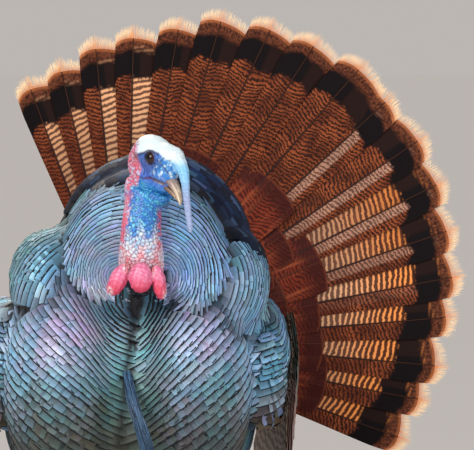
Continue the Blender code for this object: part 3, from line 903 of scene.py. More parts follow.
def wander(rng, tone, amount):
    """Tones with a small change of lightness and hue from feather to feather."""
    light = np.exp(rng.normal(0, amount, (len(tone), 1)))
    hue = np.exp(rng.normal(0, amount * 0.5, (len(tone), 3)))
    return tone * light * hue


def ruff_tone(rng, places, share):
    """Grey-blue, pearl low on the disc, with a little sea green in its upper rows."""
    low = ease(0.520 - places[:, 2], 0.0, 0.06)
    tone = colour_ramp(share, (0.0, blend_rows(MAUVE, SLATE, 0.7)), (0.2, SLATE), (0.5, SLATE), (0.7, SKY),
                       (1.0, SKY))
    tone = blend_rows(tone, SEA, (rng.random(len(share)) < 0.35) * ease(share, 0.3, 0.5) * 0.5)
    tone = blend_rows(tone, PEARL, low * 0.65)
    left = ease(places[:, 0] - BIRD[0], -0.02, 0.02)[:, None]
    return wander(rng, tone, 0.12) * (1 + left * (np.array((0.84, 0.97, 1.10)) - 1))


def mantle_tone(rng, places, share):
    """Ink and navy, a feather here and there touched with slate as a painted blue glint."""
    pick = rng.random(len(share))
    tone = blend_rows(np.tile(INK, (len(share), 1)), NAVY, pick ** 2)
    # painted glint: a few feathers are touched with slate
    tone = blend_rows(tone, SLATE, (pick > 0.86) * 0.12)
    return wander(rng, tone, 0.15)


def breast_tone(rng, places, share):
    """Lilac on the lobes' crowns, sea green near the groove, sky at the flanks and bronze below, with painted
    shade that deepens towards the bottom.
    """
    right = from_middle(places) < 0
    x = np.abs(from_middle(places))
    z = places[:, 2]
    count = len(share)
    inward = 1 - ease(x, 0.020, 0.060)
    lower = ease(0.430 - z, 0.0, 0.12)
    tone = np.tile(SLATE, (count, 1))
    tone = blend_rows(tone, SEA, inward * 0.75)
    tone = blend_rows(tone, blend_rows(TEAL, OLIVE, 0.2 + 0.6 * rng.random(count)), lower * 0.7)
    crown = np.exp(-((x - 0.058) / 0.042) ** 2 - ((z - 0.458) / 0.040) ** 2)
    tone = blend_rows(tone, LILAC, np.clip(crown * rng.uniform(0.5, 1.0, count), 0, 1))
    sheen = np.sin(x * 62 + z * 38 + 0.6 * np.sin(z * 90)) * 0.5 + 0.5
    tone = blend_rows(tone, SEA, sheen * 0.65 * (1 - crown))
    tone = blend_rows(tone, np.where(right[:, None], BRONZE, MAUVE), (1 - sheen) * lower * 0.55)
    tone = blend_rows(tone, OLIVE, inward * lower * 0.55)
    gorge = ease(z, 0.455, 0.480) * (1 - ease(x, 0.022, 0.040))
    tone = blend_rows(tone, blend_rows(NAVY, TEAL, 0.5), gorge * 0.8)
    outer = ease(x, 0.085, 0.120)
    tone = blend_rows(tone, SKY, outer * 0.85)
    tone = blend_rows(tone, BRONZE, outer * ease(0.400 - z, 0.0, 0.06) * 0.8)
    patch = rng.random(count)
    tone = blend_rows(tone, rgb(74, 158, 178), (patch < 0.14) * 0.15)
    tone = blend_rows(tone, COPPER, (patch > 0.86) * lower * 0.25)
    tone = blend_rows(tone, MOSS, ease(0.400 - z, 0.0, 0.07) * 0.55)
    # deep is painted shade: the breast grows darker towards the bottom
    deep = np.interp(z, (0.30, 0.345, 0.390, 0.440), (0.22, 0.26, 0.50, 0.92))
    return wander(rng, tone, 0.07) * deep[:, None]


def shoulder_tone(rng, places, share):
    """Slate and sea green with sky glints."""
    tone = colour_ramp(share, (0.0, SLATE), (0.4, blend_rows(TEAL, SLATE, 0.4)), (0.7, SEA), (1.0, SLATE))
    return wander(rng, blend_rows(tone, SKY, rng.random(len(share)) * 0.4), 0.09) * 0.86


def arm_tone(rng, places, share):
    """Slate and teal that turn bronze and copper outward."""
    tone = colour_ramp(share, (0.0, SLATE), (0.35, TEAL), (0.7, BRONZE), (1.0, COPPER))
    return wander(rng, blend_rows(tone, SKY, (rng.random(len(share)) < 0.3) * 0.5), 0.14)


def trunk_tone(rng, places, share):
    """Bronze and black along the back, darker under the belly, chestnut towards the tail."""
    up = ease(places[:, 2], 0.30, 0.46)
    back = blend_rows(BRONZE, SEA, rng.random(len(share)) * 0.35)
    tone = blend_rows(np.tile(UMBER, (len(share), 1)), back, up)
    arch = ease(0.070 - places[:, 1], 0.0, 0.060) * ease(places[:, 2], 0.49, 0.53)
    aside = ease(np.abs(places[:, 0] - BIRD[0]), 0.080, 0.100) * ease(-0.010 - places[:, 1], 0.0, 0.040)
    tone = blend_rows(tone, INK, arch * 0.92)
    tone = blend_rows(tone, blend_rows(SLATE, SEA, rng.random(len(share)) * 0.5), aside * 0.9)
    rear = ease(places[:, 1], 0.06, 0.20)
    tone = blend_rows(tone, blend_rows(BRONZE, CHESTNUT, rear), rear * 0.85)
    return wander(rng, tone, 0.15)


def thigh_tone(rng, places, share):
    """Umber and bronze."""
    tone = blend_rows(np.tile(UMBER, (len(share), 1)), BRONZE, rng.random(len(share)) * 0.5)
    return wander(rng, tone, 0.15)


# each part of the coat: name, ray centre, pole, first and last angle, gap and pitch of its rows,
# how many gaps long a feather is, width against pitch, lift of its tip, dark rim, its tone, whether paired
COAT = (
    ("ruff", (0.019, -0.100, 0.512), (0.0, -1.0, -0.03), 4, 140,
     ramp((0, 0.0030), (0.15, 0.0038), (0.30, 0.0054), (0.5, 0.0078), (1, 0.0095)),
     ramp((0, 0.0070), (0.10, 0.0100), (0.35, 0.0140), (1, 0.0170)), 2.9, 1.8, 0.0029,
     ramp((0, 0.9), (0.12, 1.3), (0.26, 1.65)), ruff_tone, (1.0, -1.0)),
    ("mantle", (0.008, -0.060, 0.530), (0.0, -1.0, 0.0), 24, 165,
     ramp((0, 0.0090), (1, 0.0120)), ramp((0, 0.0110), (1, 0.0170)), 2.8, 1.6, 0.0050, ramp((0, 0.4)),
     mantle_tone, (0.0,)),
    ("shoulder", (0.086, -0.095, 0.497), (-0.70, -0.45, -0.55), 3, 168,
     ramp((0, 0.0058), (0.5, 0.0068), (1, 0.0090)), ramp((0, 0.013), (1, 0.0170)), 2.8, 1.75, 0.0030,
     ramp((0, 1.3)), shoulder_tone, (-1.0,)),
    ("shoulder", (0.086, -0.095, 0.497), (-0.38, -0.92, 0.08), 4, 150,
     ramp((0, 0.0048), (0.4, 0.0060), (1, 0.0090)), ramp((0, 0.011), (1, 0.0160)), 2.8, 1.75, 0.0030,
     ramp((0, 1.3)), shoulder_tone, (1.0,)),
    ("breast", (0.058, -0.125, 0.360), (-0.557, -0.212, 0.803), 2, 160,
     ramp((0, 0.0042), (0.15, 0.0050), (0.30, 0.0064), (0.50, 0.0090), (0.8, 0.0120), (1, 0.0130)),
     ramp((0, 0.0110), (0.3, 0.0145), (0.5, 0.0180), (1, 0.0200)), 2.6, 1.8, 0.0028,
     ramp((0, 1.0), (0.5, 1.3)), breast_tone, (1.0, -1.0)),
    ("trunk", (0.000, 0.040, 0.385), (0.0, -1.0, 0.12), 30, 177,
     ramp((0, 0.0120), (0.6, 0.0140), (0.9, 0.0120), (1, 0.0070)),
     ramp((0, 0.0180), (0.9, 0.0180), (1, 0.0100)), 2.5, 1.6, 0.0045,
     ramp((0, 0.8), (0.6, 0.7), (0.9, 0.3)), trunk_tone, (0.0,)),
    ("arm", (0.136, -0.078, 0.405), (-0.25, -0.30, 0.92), 4, 168,
     ramp((0, 0.0055), (0.5, 0.0068), (1, 0.0120)), ramp((0, 0.0110), (0.5, 0.0135), (1, 0.0180)),
     2.7, 1.75, 0.0030, ramp((0, 1.3)), arm_tone, (1.0, -1.0)),
    ("thigh", (0.066, 0.010, 0.235), (0.0, -0.10, 1.0), 30, 174,
     ramp((0, 0.0100), (1, 0.0060)), ramp((0, 0.0140), (1, 0.0075)), 2.7, 1.6, 0.0045, ramp((0, 0.45)),
     thigh_tone, (1.0, -1.0)),
)


# which part of the coat lies over which: feathers sink into shade beside a part that stands higher
COVER = {"trunk": 0, "thigh": 1, "arm": 2, "breast": 3, "mantle": 3, "shoulder": 4, "ruff": 5}


def crease_shade(ground, places, part):
    """Rows of shares, under 1 where a higher part of the coat overhangs its neighbour."""
    names = owners(ground.points)
    shade = np.ones(len(places))
    for other in COVER:
        if other == part or COVER[other] + 2 < COVER[part]:
            continue
        theirs = ground.points[np.char.startswith(names, other)]
        tree = KDTree(len(theirs))
        for k, p in enumerate(theirs):
            tree.insert(Vector(p), k)
        tree.balance()
        away = np.array([tree.find(Vector(p))[2] for p in places])
        depth, width = (0.65, 0.010) if COVER[other] > COVER[part] else (0.35, 0.006)
        shade = np.minimum(shade, 1 - depth * bell(away, width))
    return shade


def groove_shade(points):
    """How deep rows of places lie in the painted shade along the groove between the breast's lobes, from 0 to
    1.
    """
    away = np.abs(from_middle(points) + 0.002)
    front = ease(-(points[:, 1] - BIRD[1]), 0.13, 0.17) * ease(points[:, 2], 0.27, 0.33)
    return bell(away, 0.0046) * front * ease(0.505 - points[:, 2], 0.0, 0.01)


def coat_part(ground, row, side, seed, made):
    """One part of the coat on one side, as a mesh of small feathers."""
    part, centre, pole, first, last, gap, pitch, long, wide, rise, edge, tone_of, _ = row
    mirror = side or 1.0
    centre = on_bird((centre[0] * mirror, centre[1], centre[2]))
    pole = (pole[0] * mirror, pole[1], pole[2])
    tag = part + SIDES[side]
    roots, aims, share, turn = feather_rows(ground, tag, centre, pole, first, last, gap, pitch, seed)
    mine = owners(roots) == tag
    roots, aims, share, turn = roots[mine], aims[mine], share[mine], turn[mine]
    rng = np.random.default_rng(SEED + 50 + seed)
    length = gap(share) * long * made.feather_length * rng.uniform(0.94, 1.08, len(share))
    width = pitch(share) * wide * made.feather_width * rng.uniform(0.96, 1.08, len(share))
    reach = 0.47 * (math.radians(first) + math.radians(last - first) * share) / math.radians(last)
    spot = 0.5 + reach[:, None] * np.stack([np.cos(turn), np.sin(turn)], 1)
    rims = edge(share) * made.rim * rng.uniform(0.8, 1.15, len(share))
    tones = tone_of(rng, roots, share) * crease_shade(ground, roots, part)[:, None]
    curl = np.zeros(len(share))
    if part == "ruff":
        inside = np.max([1 - np.hypot((roots[:, 0] - BIRD[0] - x) / wide, (roots[:, 2] - z) / high)
                         for x, z, wide, high in RUFF_DISCS], axis=0)
        edge_share = 1 - ease(inside, 0.0, 0.30)
        length *= 1 - 0.5 * edge_share
        width *= 1 + 0.4 * edge_share
        curl = -0.045 * edge_share
    if part == "breast":
        away = np.abs(from_middle(roots))
        rims = rims + 1.5 * (1 - ease(away, 0.016, 0.034)) * ease(roots[:, 2], 0.425, 0.465)
    rises = rise * rng.uniform(0.9, 1.1, len(share))
    return feather_mesh("coat_" + tag, ground, roots, aims, length, width, rises, tones, rims, spot, curl,
                        seed)


def plumage_finish(name, gloss, metal, shine):
    """Satin body feathers: a near-black root painted as shade where the next row covers it, painted shade and
    a painted highlight along the bared part, streaks of painted sheen over barb bumps, and a thin black rim
    at the tip.
    """
    f = Finish(name)
    along, across, pick, edge = f.values("along", "across", "pick", "edge")
    wave = f.noise(900.0, 2.0)
    rim = (along + (wave - 0.5) * 0.02 + (edge - 1.0).most(0.0) * 0.09).step(0.945, 0.965) * edge.least(1.0)
    # hidden marks the root part under the next row, which is painted near-black as shade
    hidden = along.step(0.52, 0.25)
    drift = f.noise(34.0, 2.0)
    barbs = (along * 70.0 + across.abs() * 26.0 + pick * 9.0).sin()
    streak = f.noise_on(2.0, across * 9.0, along * 2.5, pick * 50.0)
    tone = f.tone()
    warm = f.dyed(tone, 1.18, 0.98, 0.98)
    tone = f.mix(drift.step(0.35, 0.65), warm, f.dyed(tone, 0.86, 1.04, 1.06))
    # streaks brightened along the vanes are painted sheen
    tone = f.mix((streak - 0.35) * 0.6, tone, f.dyed(tone, 1.9, 1.9, 1.9))
    # painted highlight: the bared part brightens towards the tip; painted shadow: it darkens just below,
    # where the row above overhangs it
    tone = f.mix(along.step(0.62, 0.92), tone, f.dyed(tone, 1.55, 1.58, 1.6))
    tone = f.mix(along.step(0.60, 0.40) * 0.5, tone, f.dyed(tone, 0.6, 0.6, 0.62))
    tone = f.mix(hidden * 0.85, tone, ROOT_SHADE_BLACK)
    tone = f.mix(rim, tone, RIM_BLACK)
    rough = gloss + rim * 0.2 + streak * 0.1
    normal = f.bump(barbs * 0.5 + streak, 0.25, 0.0006)
    f.done(Specular_IOR_Level=shine)
    return f.done(Base_Color=tone, Roughness=rough, Metallic=metal * (1.0 - rim * 0.8), Normal=normal)


def coat(made):
    """The coat of small feathers over the whole body, one piece for each of its parts."""
    body = bare_body()
    ground = Ground(body.data)
    bpy.data.objects.remove(body, do_unlink=True)
    satin = plumage_finish("plumage", made.gloss, made.sheen, 0.4)
    black = plumage_finish("mantle_black", 0.42, 0.0, 0.14)
    for k, row in enumerate(COAT):
        for side in row[-1]:
            mesh = coat_part(ground, row, side, 10 * k + int(side), made)
            finish_piece(add_piece(mesh), black if row[0] == "mantle" else satin, "body_plumage")


# ---------------------------------------------------------------- long vanes: tail and wing quills

BARB_PITCH = 5200.0
# distances from one bar or wavy line to the next on the fan and on its coverts
FAN_BAR, FAN_WORM, COVERT_WORM = 0.0064, 0.0046, 0.0050
# the edge left free round a piece's OFBake map, and the part that it fills
MAP_LOW, MAP_SPAN = 0.02, 0.96
# half of the strip that one feather takes on that map, where 0.5 would touch its neighbour
HALF_STRIP = 0.46
FAN_VANE_THICK = 0.00045
WING_VANE_THICK = 0.0005
SHAFT_LIFT = 0.0005
# how deep a loose barb is rooted in its feather's tip
BARB_ROOT = 0.003


def sheet_faces(rows, columns):
    """Quads of one thin closed sheet: its front grid, then its back grid, then the rim."""
    k = np.arange(rows - 1)[:, None] * columns
    c = np.arange(columns - 1)[None, :]
    a = (k + c).ravel()
    front = np.stack([a, a + 1, a + 1 + columns, a + columns], -1)
    back = front[:, ::-1] + rows * columns
    low = np.arange(columns - 1)
    high = low + (rows - 1) * columns
    left = np.arange(rows - 1) * columns
    right = left + columns - 1
    rim = []
    for first, second in ((low + 1, low), (high, high + 1), (left, left + columns), (right + columns, right)):
        rim.append(np.stack([first, second, second + rows * columns, first + rows * columns], -1))
    return np.concatenate([front, back, *rim])


def sheets_mesh(name, grids, facing, thick, values, patch):
    """Many thin sheets of equal grids as one mesh. grids is (count, rows, columns, 3)."""
    count, rows, columns = grids.shape[:3]
    along = np.gradient(grids, axis=1)
    across = np.gradient(grids, axis=2)
    out = unit(np.cross(across, along))
    out *= np.sign((out * facing).sum(-1, keepdims=True) + 1e-9)
    both = np.stack([grids + out * thick[..., None] / 2, grids - out * thick[..., None] / 2], 1)
    doubled = lambda rowset: np.stack([rowset, rowset], 1).reshape(-1)
    quads = tiled(sheet_faces(rows, columns), rows * columns * 2, count)
    spots = np.stack([patch, patch], 1).reshape(-1, 2)
    mesh = make_mesh(name, both.reshape(-1, 3), quads, values={k: doubled(v) for k, v in values.items()},
                     patch=spots)
    return turned_out(mesh)


def vane_sheets(name, grids, facing, thick, facts, keys):
    """Sheets thinned towards both edges. Each point's last two facts are its place on the map."""
    grids, facts = np.array(grids), np.array(facts)
    values = {key: facts[:, k] for k, key in enumerate(keys)}
    thin = thick * (1 - 0.6 * np.linspace(-1, 1, grids.shape[2]) ** 2) * np.ones(grids.shape[:3])
    return sheets_mesh(name, grids, facing, thin, values, np.stack([facts[:, -2], facts[:, -1]], -1))


def fan_axes():
    """The fan's middle line, its breadth and the way that its front faces."""
    along = np.array((math.sin(TAIL_TILT), 0.0, math.cos(TAIL_TILT)))
    across = np.array((math.cos(TAIL_TILT), 0.0, -math.sin(TAIL_TILT)))
    along = along * math.cos(TAIL_BACK) + np.array((0.0, math.sin(TAIL_BACK), 0.0))
    front = unit(np.cross(along, across))
    return along, across, front if front[1] < 0 else -front


def fan_place(angle, radius, aside, lift):
    """Places on the fan beside a shaft that stands at an angle, at a distance out from the root."""
    along, across, front = fan_axes()
    ray = np.cos(angle)[..., None] * along + np.sin(angle)[..., None] * across
    over = np.cos(angle)[..., None] * across - np.sin(angle)[..., None] * along
    turned = angle + np.arctan2(aside, np.maximum(radius, 1e-4))
    cup = TAIL_CUP * (turned / TAIL_HALF) ** 2 * (radius / TAIL_LENGTH) ** 1.5
    return TAIL_ROOT + ray * radius[..., None] + over * aside[..., None] + front * (cup + lift)[..., None]


def tail_reach(angle):
    """How far the fan reaches at an angle."""
    shape = np.array(TAIL_SHAPE)
    at = (np.clip(angle / TAIL_EDGE, -1, 1) + 1) / 2 * (len(shape) - 1)
    smooth = through([(v,) for v in shape], 241)[:, 0]
    return TAIL_LENGTH * np.interp(at, np.linspace(0, len(shape) - 1, 241), smooth)


def fan_vanes(name, count, half, reach, inner, tip_gap, lift, tilt, outer, inside, tip_drop, rows, columns,
              seed, crown=0.0012):
    """A fan of long feathers laid like tiles, the middle one on top, as one mesh, with its shafts' lines."""
    rng = np.random.default_rng(SEED + seed)
    t = np.linspace(0, 1, rows) ** 0.92
    u = np.linspace(-1, 1, columns)
    grids, shafts, facts = [], [], []
    middle = (count - 1) / 2
    for i in range(count):
        angle = -half + 2 * half * i / (count - 1) + rng.normal(0, 0.0035)
        side = 1.0 if angle > 0 else -1.0
        end = reach(angle) * (1 + rng.normal(0, 0.006)) - tip_gap
        drop = tip_drop * np.abs(u) ** 2.4
        radius = inner + (end - inner - drop[None, :]) * t[:, None]
        share = radius / end
        wide = np.where(u > 0, outer, inside)[None, :] * (radius + 0.035)
        wide = wide * (1 - 0.10 * ease(share, 0.90, 1.0))
        aside = side * u[None, :] * wide
        sweep = rng.normal(0, 0.006) * share ** 2 * end
        sway = 0.0004 * np.sin(share * (5 + rng.random() * 3) + rng.random() * 6) * share
        ripple = 0.0003 * np.sin(share * 31 + u[None, :] * 4 + rng.random() * 6)
        height = lift(share) + tilt * u[None, :] * (0.4 + 0.6 * share) + sway + ripple * share
        above = crown if i == int(middle) else 0.0
        height = height + above
        turned = np.full_like(radius, angle) + sweep / end
        grids.append(fan_place(turned, radius, aside, height))
        at = inner + (end - inner) * np.linspace(0, 1, 40)
        spine = columns // 2
        bent, swayed = (np.interp(at / end, share[:, spine], row[:, spine]) for row in (sweep, sway))
        shaft_height = lift(at / end) + above + swayed + SHAFT_LIFT
        shafts.append(fan_place(angle + bent / end, at, np.zeros_like(at), shaft_height))
        facts.append(np.stack([
            radius, end - drop[None, :] - radius, np.broadcast_to(u, radius.shape), aside * side,
            np.full_like(radius, side), np.full_like(radius, rng.random()), np.full_like(radius, angle),
            (i + 0.5 + HALF_STRIP * u[None, :]) / count + 0 * radius,
            MAP_LOW + MAP_SPAN * t[:, None] + 0 * radius]))
    keys = ("out", "from_tip", "across", "aside", "side", "pick", "angle")
    mesh = vane_sheets(name, grids, fan_axes()[2], FAN_VANE_THICK, facts, keys)
    return mesh, np.array(shafts), np.array(grids)


def shaft_mesh(name, shafts, base, tip, sides=6):
    """Tapering quill shafts along lines, closed at both ends, as one mesh."""
    count, rows = shafts.shape[:2]
    taper = np.linspace(1, 0, rows) ** 0.8
    quads, threes = loft_faces(rows, sides)
    points, along, spots = [], [], []
    for i, line in enumerate(shafts):
        rings = tube_rows(line, tip + (base - tip) * taper, sides)
        points.append(loft_points(rings))
        t = np.concatenate([np.repeat(np.linspace(0, 1, rows), sides), (0.0, 1.0)])
        along.append(t)
        spots.append(np.stack([np.full(len(t), (i + 0.5) / count), MAP_LOW + MAP_SPAN * t], 1))
    size = rows * sides + 2
    mesh = make_mesh(name, np.concatenate(points), tiled(quads, size, count), tiled(threes, size, count),
                     values={"along": np.concatenate(along)}, patch=np.concatenate(spots))
    return turned_out(mesh)


def wavy_bars(lie, pitch, drift, coarse, fine, small, turn=0.0):
    """Bars across a vane, from -1 to 1, bent by a coarse and a fine noise."""
    return (lie * (2 * math.pi / pitch) + turn + (drift - 0.5) * coarse + (fine - 0.5) * small).sin()


def barb_lines(out, aside, lean):
    """Fine slanting lines along the barbs of a vane."""
    return ((out - aside * lean) * BARB_PITCH).sin()


def rectrix_finish(made):
    """Tail feathers: buff and umber bars, a black band near the tip, then fine brown speckle; painted
    backlight brightens the inner vanes' bars, browns the band on those vanes and glows from all but the band,
    a pale strip is partly painted reflection, and painted shade darkens the root.
    """
    f = Finish("rectrix")
    out, tip, across, aside = f.values("out", "from_tip", "across", "aside")
    side, pick, angle = f.values("side", "pick", "angle")
    drift = f.noise_on(4.0, aside * 60.0, out * 40.0, pick * 40.0)
    fine = f.noise_on(3.0, aside * 420.0, out * 260.0, pick * 40.0)
    lie = out - aside.abs() * 0.25
    bars = wavy_bars(lie, FAN_BAR, drift, 8.0, fine, 3.0)
    spread = angle.most(angle * -0.5)
    # lit picks the inner vanes of the feathers spread to the sides, whose own bars are painted brighter as
    # light shining through from behind
    lit = across.step(0.10, -0.10) * (spread + (pick - 0.5) * 0.25).step(0.24, 0.50)
    worm = wavy_bars(lie, FAN_WORM, drift, 20.0, fine, 9.0)
    near = tip.step(0.17, 0.050) * angle.step(-0.9, 0.3).most(0.35)
    bright = f.mix(near, rgb(222, 176, 138), made.bars)
    gap = f.mix(near, rgb(112, 80, 64), rgb(76, 40, 24))
    inner = f.mix((bars - angle.step(0.1, 0.5) * 0.35).step(-0.55, 0.50), gap, bright)
    rust = f.mix(drift.step(0.35, 0.65), rgb(104, 48, 26), made.rust)
    dark = f.mix(worm.step(-0.9, 0.9) * (0.45 + drift * 0.9).least(1.0), rgb(42, 18, 12), rust)
    pale = f.mix(worm.step(-0.7, 0.8), rgb(112, 78, 66), rgb(184, 144, 122))
    # strip is a pale wash beside the shaft on the outer vanes of one side's feathers, partly their own colour
    # and partly painted reflection
    strip = aside.step(0.0005, 0.0015) * aside.step(0.0125, 0.0095) * side.step(0.0, 0.5)
    strip = strip * out.step(0.16, 0.22) * angle.step(0.70, 0.35)
    outer = f.mix(strip * (0.35 + drift * 0.5), dark, pale)
    tone = f.mix(lit, outer, inner)
    # painted shade: the fan's root darkens where the coverts lie over it
    deep = out.step(0.17, 0.30)
    tone = f.mix((1.0 - deep) * 0.6, tone, rgb(70, 24, 12))
    wobble = (drift - 0.5) * 0.022 + (fine - 0.5) * 0.008 + (pick - 0.5) * 0.006
    band = (tip + wobble).step(0.0490, 0.0430) * (tip + wobble * 0.7).step(0.0090, 0.0180)
    # the band is browner on the inner vanes, painted as light shining through a single layer
    black = f.mix(across.step(-0.18, -0.3) * 0.4, made.band, rgb(50, 26, 18))
    tone = f.mix(band, tone, black)
    speck = f.mix(fine.step(0.35, 0.65), rgb(50, 24, 16), rgb(104, 56, 36))
    speck = f.mix(tip.step(0.005, 0.001) * 0.6, speck, rgb(170, 96, 54))
    tone = f.mix((tip + wobble * 0.7).step(0.0180, 0.0090), tone, speck)
    normal = f.bump(barb_lines(out, aside.abs(), 0.9) * 0.4 + drift * 2.0 + bars * 0.15, 0.22, 0.0008)
    # the emission is painted light: all but the band glows as if lit through from behind
    f.done(Emission_Strength=0.22, Specular_IOR_Level=0.12)
    glow = f.mix(1.0 - band, (0.0, 0.0, 0.0), tone)
    return f.done(Base_Color=tone, Roughness=0.62 + drift * 0.15, Normal=normal, Emission_Color=glow)


def shaft_finish(name, base, tip):
    f = Finish(name)
    along = f.value("along")
    streak = f.stretched(2.0, 900.0, 900.0, 60.0)
    tone = f.mix(along + (streak - 0.5) * 0.4, base, tip)
    f.done(Specular_IOR_Level=0.15)
    return f.done(Base_Color=tone, Roughness=0.45 + streak * 0.15)


def tail_feathers(made):
    """The fan's long feathers, their shafts and the loose barbs at their tips."""
    mesh, shafts, grids = fan_vanes(
        "tail_vanes", TAIL_FEATHERS, TAIL_HALF, tail_reach, inner=0.030, tip_gap=0.015,
        lift=lambda share: 0.0 * share, tilt=0.0014, outer=0.061, inside=0.100, tip_drop=0.008,
        rows=56, columns=19, seed=1)
    finish_piece(add_piece(mesh), rectrix_finish(made), "tail", "tail_fan")
    ribs = add_piece(shaft_mesh("tail_shafts", shafts, base=0.0017, tip=0.0005))
    finish_piece(ribs, shaft_finish("tail_shaft", rgb(22, 20, 34), rgb(60, 34, 22)), "tail")
    tail_fringe(grids, made)


def tail_fringe(grids, made):
    """Loose glowing barbs past each tail feather's tip."""
    rng = np.random.default_rng(SEED + 60)
    barbs = made.fringe_barbs
    columns = grids.shape[2]
    lines, picks, middle, spots = [], [], [], []
    steps = np.linspace(0, 1, 4)
    for i, grid in enumerate(grids):
        u = np.linspace(-0.97, 0.97, barbs) + rng.normal(0, 0.008, barbs)
        at = (np.clip(u, -1, 1) + 1) / 2 * (columns - 1)
        tip, inner = (np.stack([np.interp(at, np.arange(columns), grid[row, :, k]) for k in range(3)], 1)
                      for row in (-1, -3))
        over = unit(grid[-1, -1] - grid[-1, 0])
        out = unit(unit(tip - inner) + over * (0.16 * u + rng.normal(0, 0.07, barbs))[:, None])
        long = made.fringe_length * (1 - 0.35 * np.abs(u) ** 2) * rng.uniform(0.75, 1.05, barbs)
        long += 0.0025 * bell(u, 0.12)
        bend = over * rng.normal(0, 0.0012, barbs)[:, None]
        root = tip - out * BARB_ROOT
        for k in range(barbs):
            lines.append(root[k] + out[k] * (long[k] + BARB_ROOT) * steps[:, None]
                         + bend[k] * steps[:, None] ** 2)
        picks.append(rng.random(barbs))
        middle.append(bell(u, 0.16))
        spots.append(np.stack([(i + 0.5 + HALF_STRIP * u) / len(grids), np.full(len(u), 0.985)], 1))
    taper = np.tile((1.0, 0.85, 0.6, 0.2), len(lines))
    values = {"pick": np.concatenate(picks), "middle": np.concatenate(middle)}
    mesh = line_mesh("tail_fringe", np.array(lines), taper, values, np.concatenate(spots))
    grown(mesh, strand_tree(), fringe_finish(made), "tail", Thickness=0.00021, Sides=3)


def fringe_finish(made):
    f = Finish("tail_fringe")
    along, pick, middle = f.values("along", "pick", "middle")
    tone = f.mix(along.step(0.10, 0.75), rgb(186, 104, 52), made.fringe)
    tone = f.mix(middle * 0.8 * (1.0 - along * 0.5), tone, rgb(208, 116, 44))
    tone = f.mix(pick * 0.25, tone, rgb(255, 210, 160))
    f.done(Emission_Strength=made.fringe_glow)
    return f.done(Base_Color=tone, Roughness=0.6 + pick * 0.2, Emission_Color=tone)


def covert_finish():
    """Upper tail coverts: deep chestnut, finely wormed, with a dark maroon square tip and painted shade at
    the root.
    """
    f = Finish("tail_covert")
    out, tip, aside, pick = f.values("out", "from_tip", "aside", "pick")
    drift = f.noise_on(4.0, aside * 70.0, out * 50.0, pick * 40.0)
    fine = f.noise_on(3.0, aside * 300.0, out * 900.0, pick * 40.0)
    worm = wavy_bars(out - aside.abs() * 0.4, COVERT_WORM, drift, 24.0, fine, 6.0)
    chestnut = f.mix(worm.step(-0.8, 0.8) * 0.9, rgb(52, 14, 10), rgb(138, 54, 30))
    tone = f.mix(pick * 0.6, chestnut, rgb(92, 30, 20))
    streak = f.noise_on(3.0, aside * 160.0, out * 9.0, pick * 60.0)
    tone = f.mix(streak.step(0.45, 0.75) * 0.5, tone, rgb(176, 92, 56))
    wobble = (drift - 0.5) * 0.022
    maroon = f.mix(fine, rgb(22, 7, 9), rgb(72, 20, 16))
    tone = f.mix((tip + wobble).step(0.034, 0.012) * 0.85, tone, maroon)
    # painted shade: the root darkens near the body
    tone = f.mix(out.step(0.150, 0.060) * 0.85, tone, rgb(24, 9, 10))
    tone = f.mix((tip + wobble * 0.2).step(0.0030, 0.0004) * 0.3, tone, rgb(150, 76, 46))
    normal = f.bump(barb_lines(out, aside.abs(), 0.9) + drift * 3.0 + streak * 2.0, 0.25, 0.0008)
    f.done(Specular_IOR_Level=0.15)
    return f.done(Base_Color=tone, Roughness=0.6 + drift * 0.2, Normal=normal)


# reach of the upper tail coverts at angles from the fan's middle, against the longest
COVERT_REACH = ((-1.4, -0.95, -0.65, -0.2, 0.8, 1.2, 1.4), (0.54, 0.60, 0.82, 0.88, 0.88, 0.79, 0.76))
# rows of coverts over and under the fan: number, share of its spread, length, height off the fan
OVER_ROWS = ((11, 0.90, 0.262, 0.0042), (10, 0.86, 0.212, 0.0078), (9, 0.82, 0.166, 0.0108))
UNDER_ROWS = ((11, 0.66, 0.205, 0.0034), (10, 0.60, 0.160, 0.0062), (9, 0.54, 0.118, 0.0088))


def tail_coverts():
    """The shorter feathers over and under the fan's base, with the shafts of the upper ones."""
    finish = covert_finish()
    shared = {"inner": 0.028, "tip_gap": 0.0, "outer": 0.135, "inside": 0.150}
    lines = []
    for k, (count, spread, length, high) in enumerate(OVER_ROWS):
        reach = lambda angle: length * (np.interp(angle, *COVERT_REACH) + 0.03 * math.sin(997 * angle)
                                        + 0.07 * math.cos(12.8 * angle + 60 * high))
        mesh, shafts, _ = fan_vanes(
            "tail_coverts_%d" % (k + 1), count, TAIL_HALF * spread, reach,
            lift=lambda share: high + 0.0015 - 0.0035 * share, tilt=0.0016, tip_drop=0.007,
            rows=26, columns=13, seed=20 + k, **shared)
        finish_piece(add_piece(mesh), finish, "tail", *(("tail_coverts",) if k == 0 else ()))
        lines.append(shafts)
    ribs = add_piece(shaft_mesh("covert_shafts", np.concatenate(lines), base=0.0010, tip=0.0003, sides=5))
    finish_piece(ribs, shaft_finish("covert_shaft", rgb(60, 26, 16), rgb(90, 50, 34)), "tail")
    for k, (count, spread, length, low) in enumerate(UNDER_ROWS):
        reach = lambda angle: length * (1.0 - 0.12 * (angle / TAIL_HALF) ** 2)
        mesh, _, _ = fan_vanes(
            "undertail_coverts_%d" % (k + 1), count, TAIL_HALF * spread, reach,
            lift=lambda share: -low - 0.0015 + 0.0035 * share, tilt=-0.0016, tip_drop=0.014,
            rows=22, columns=11, seed=26 + k, crown=-0.0012, **shared)
        finish_piece(add_piece(mesh), finish, "tail")


# ---------------------------------------------------------------- wings

PRIMARY_ROOTS = ((-0.112, 0.352), (-0.078, 0.392))
SECONDARY_ROOTS = ((-0.066, 0.400), (0.050, 0.452))
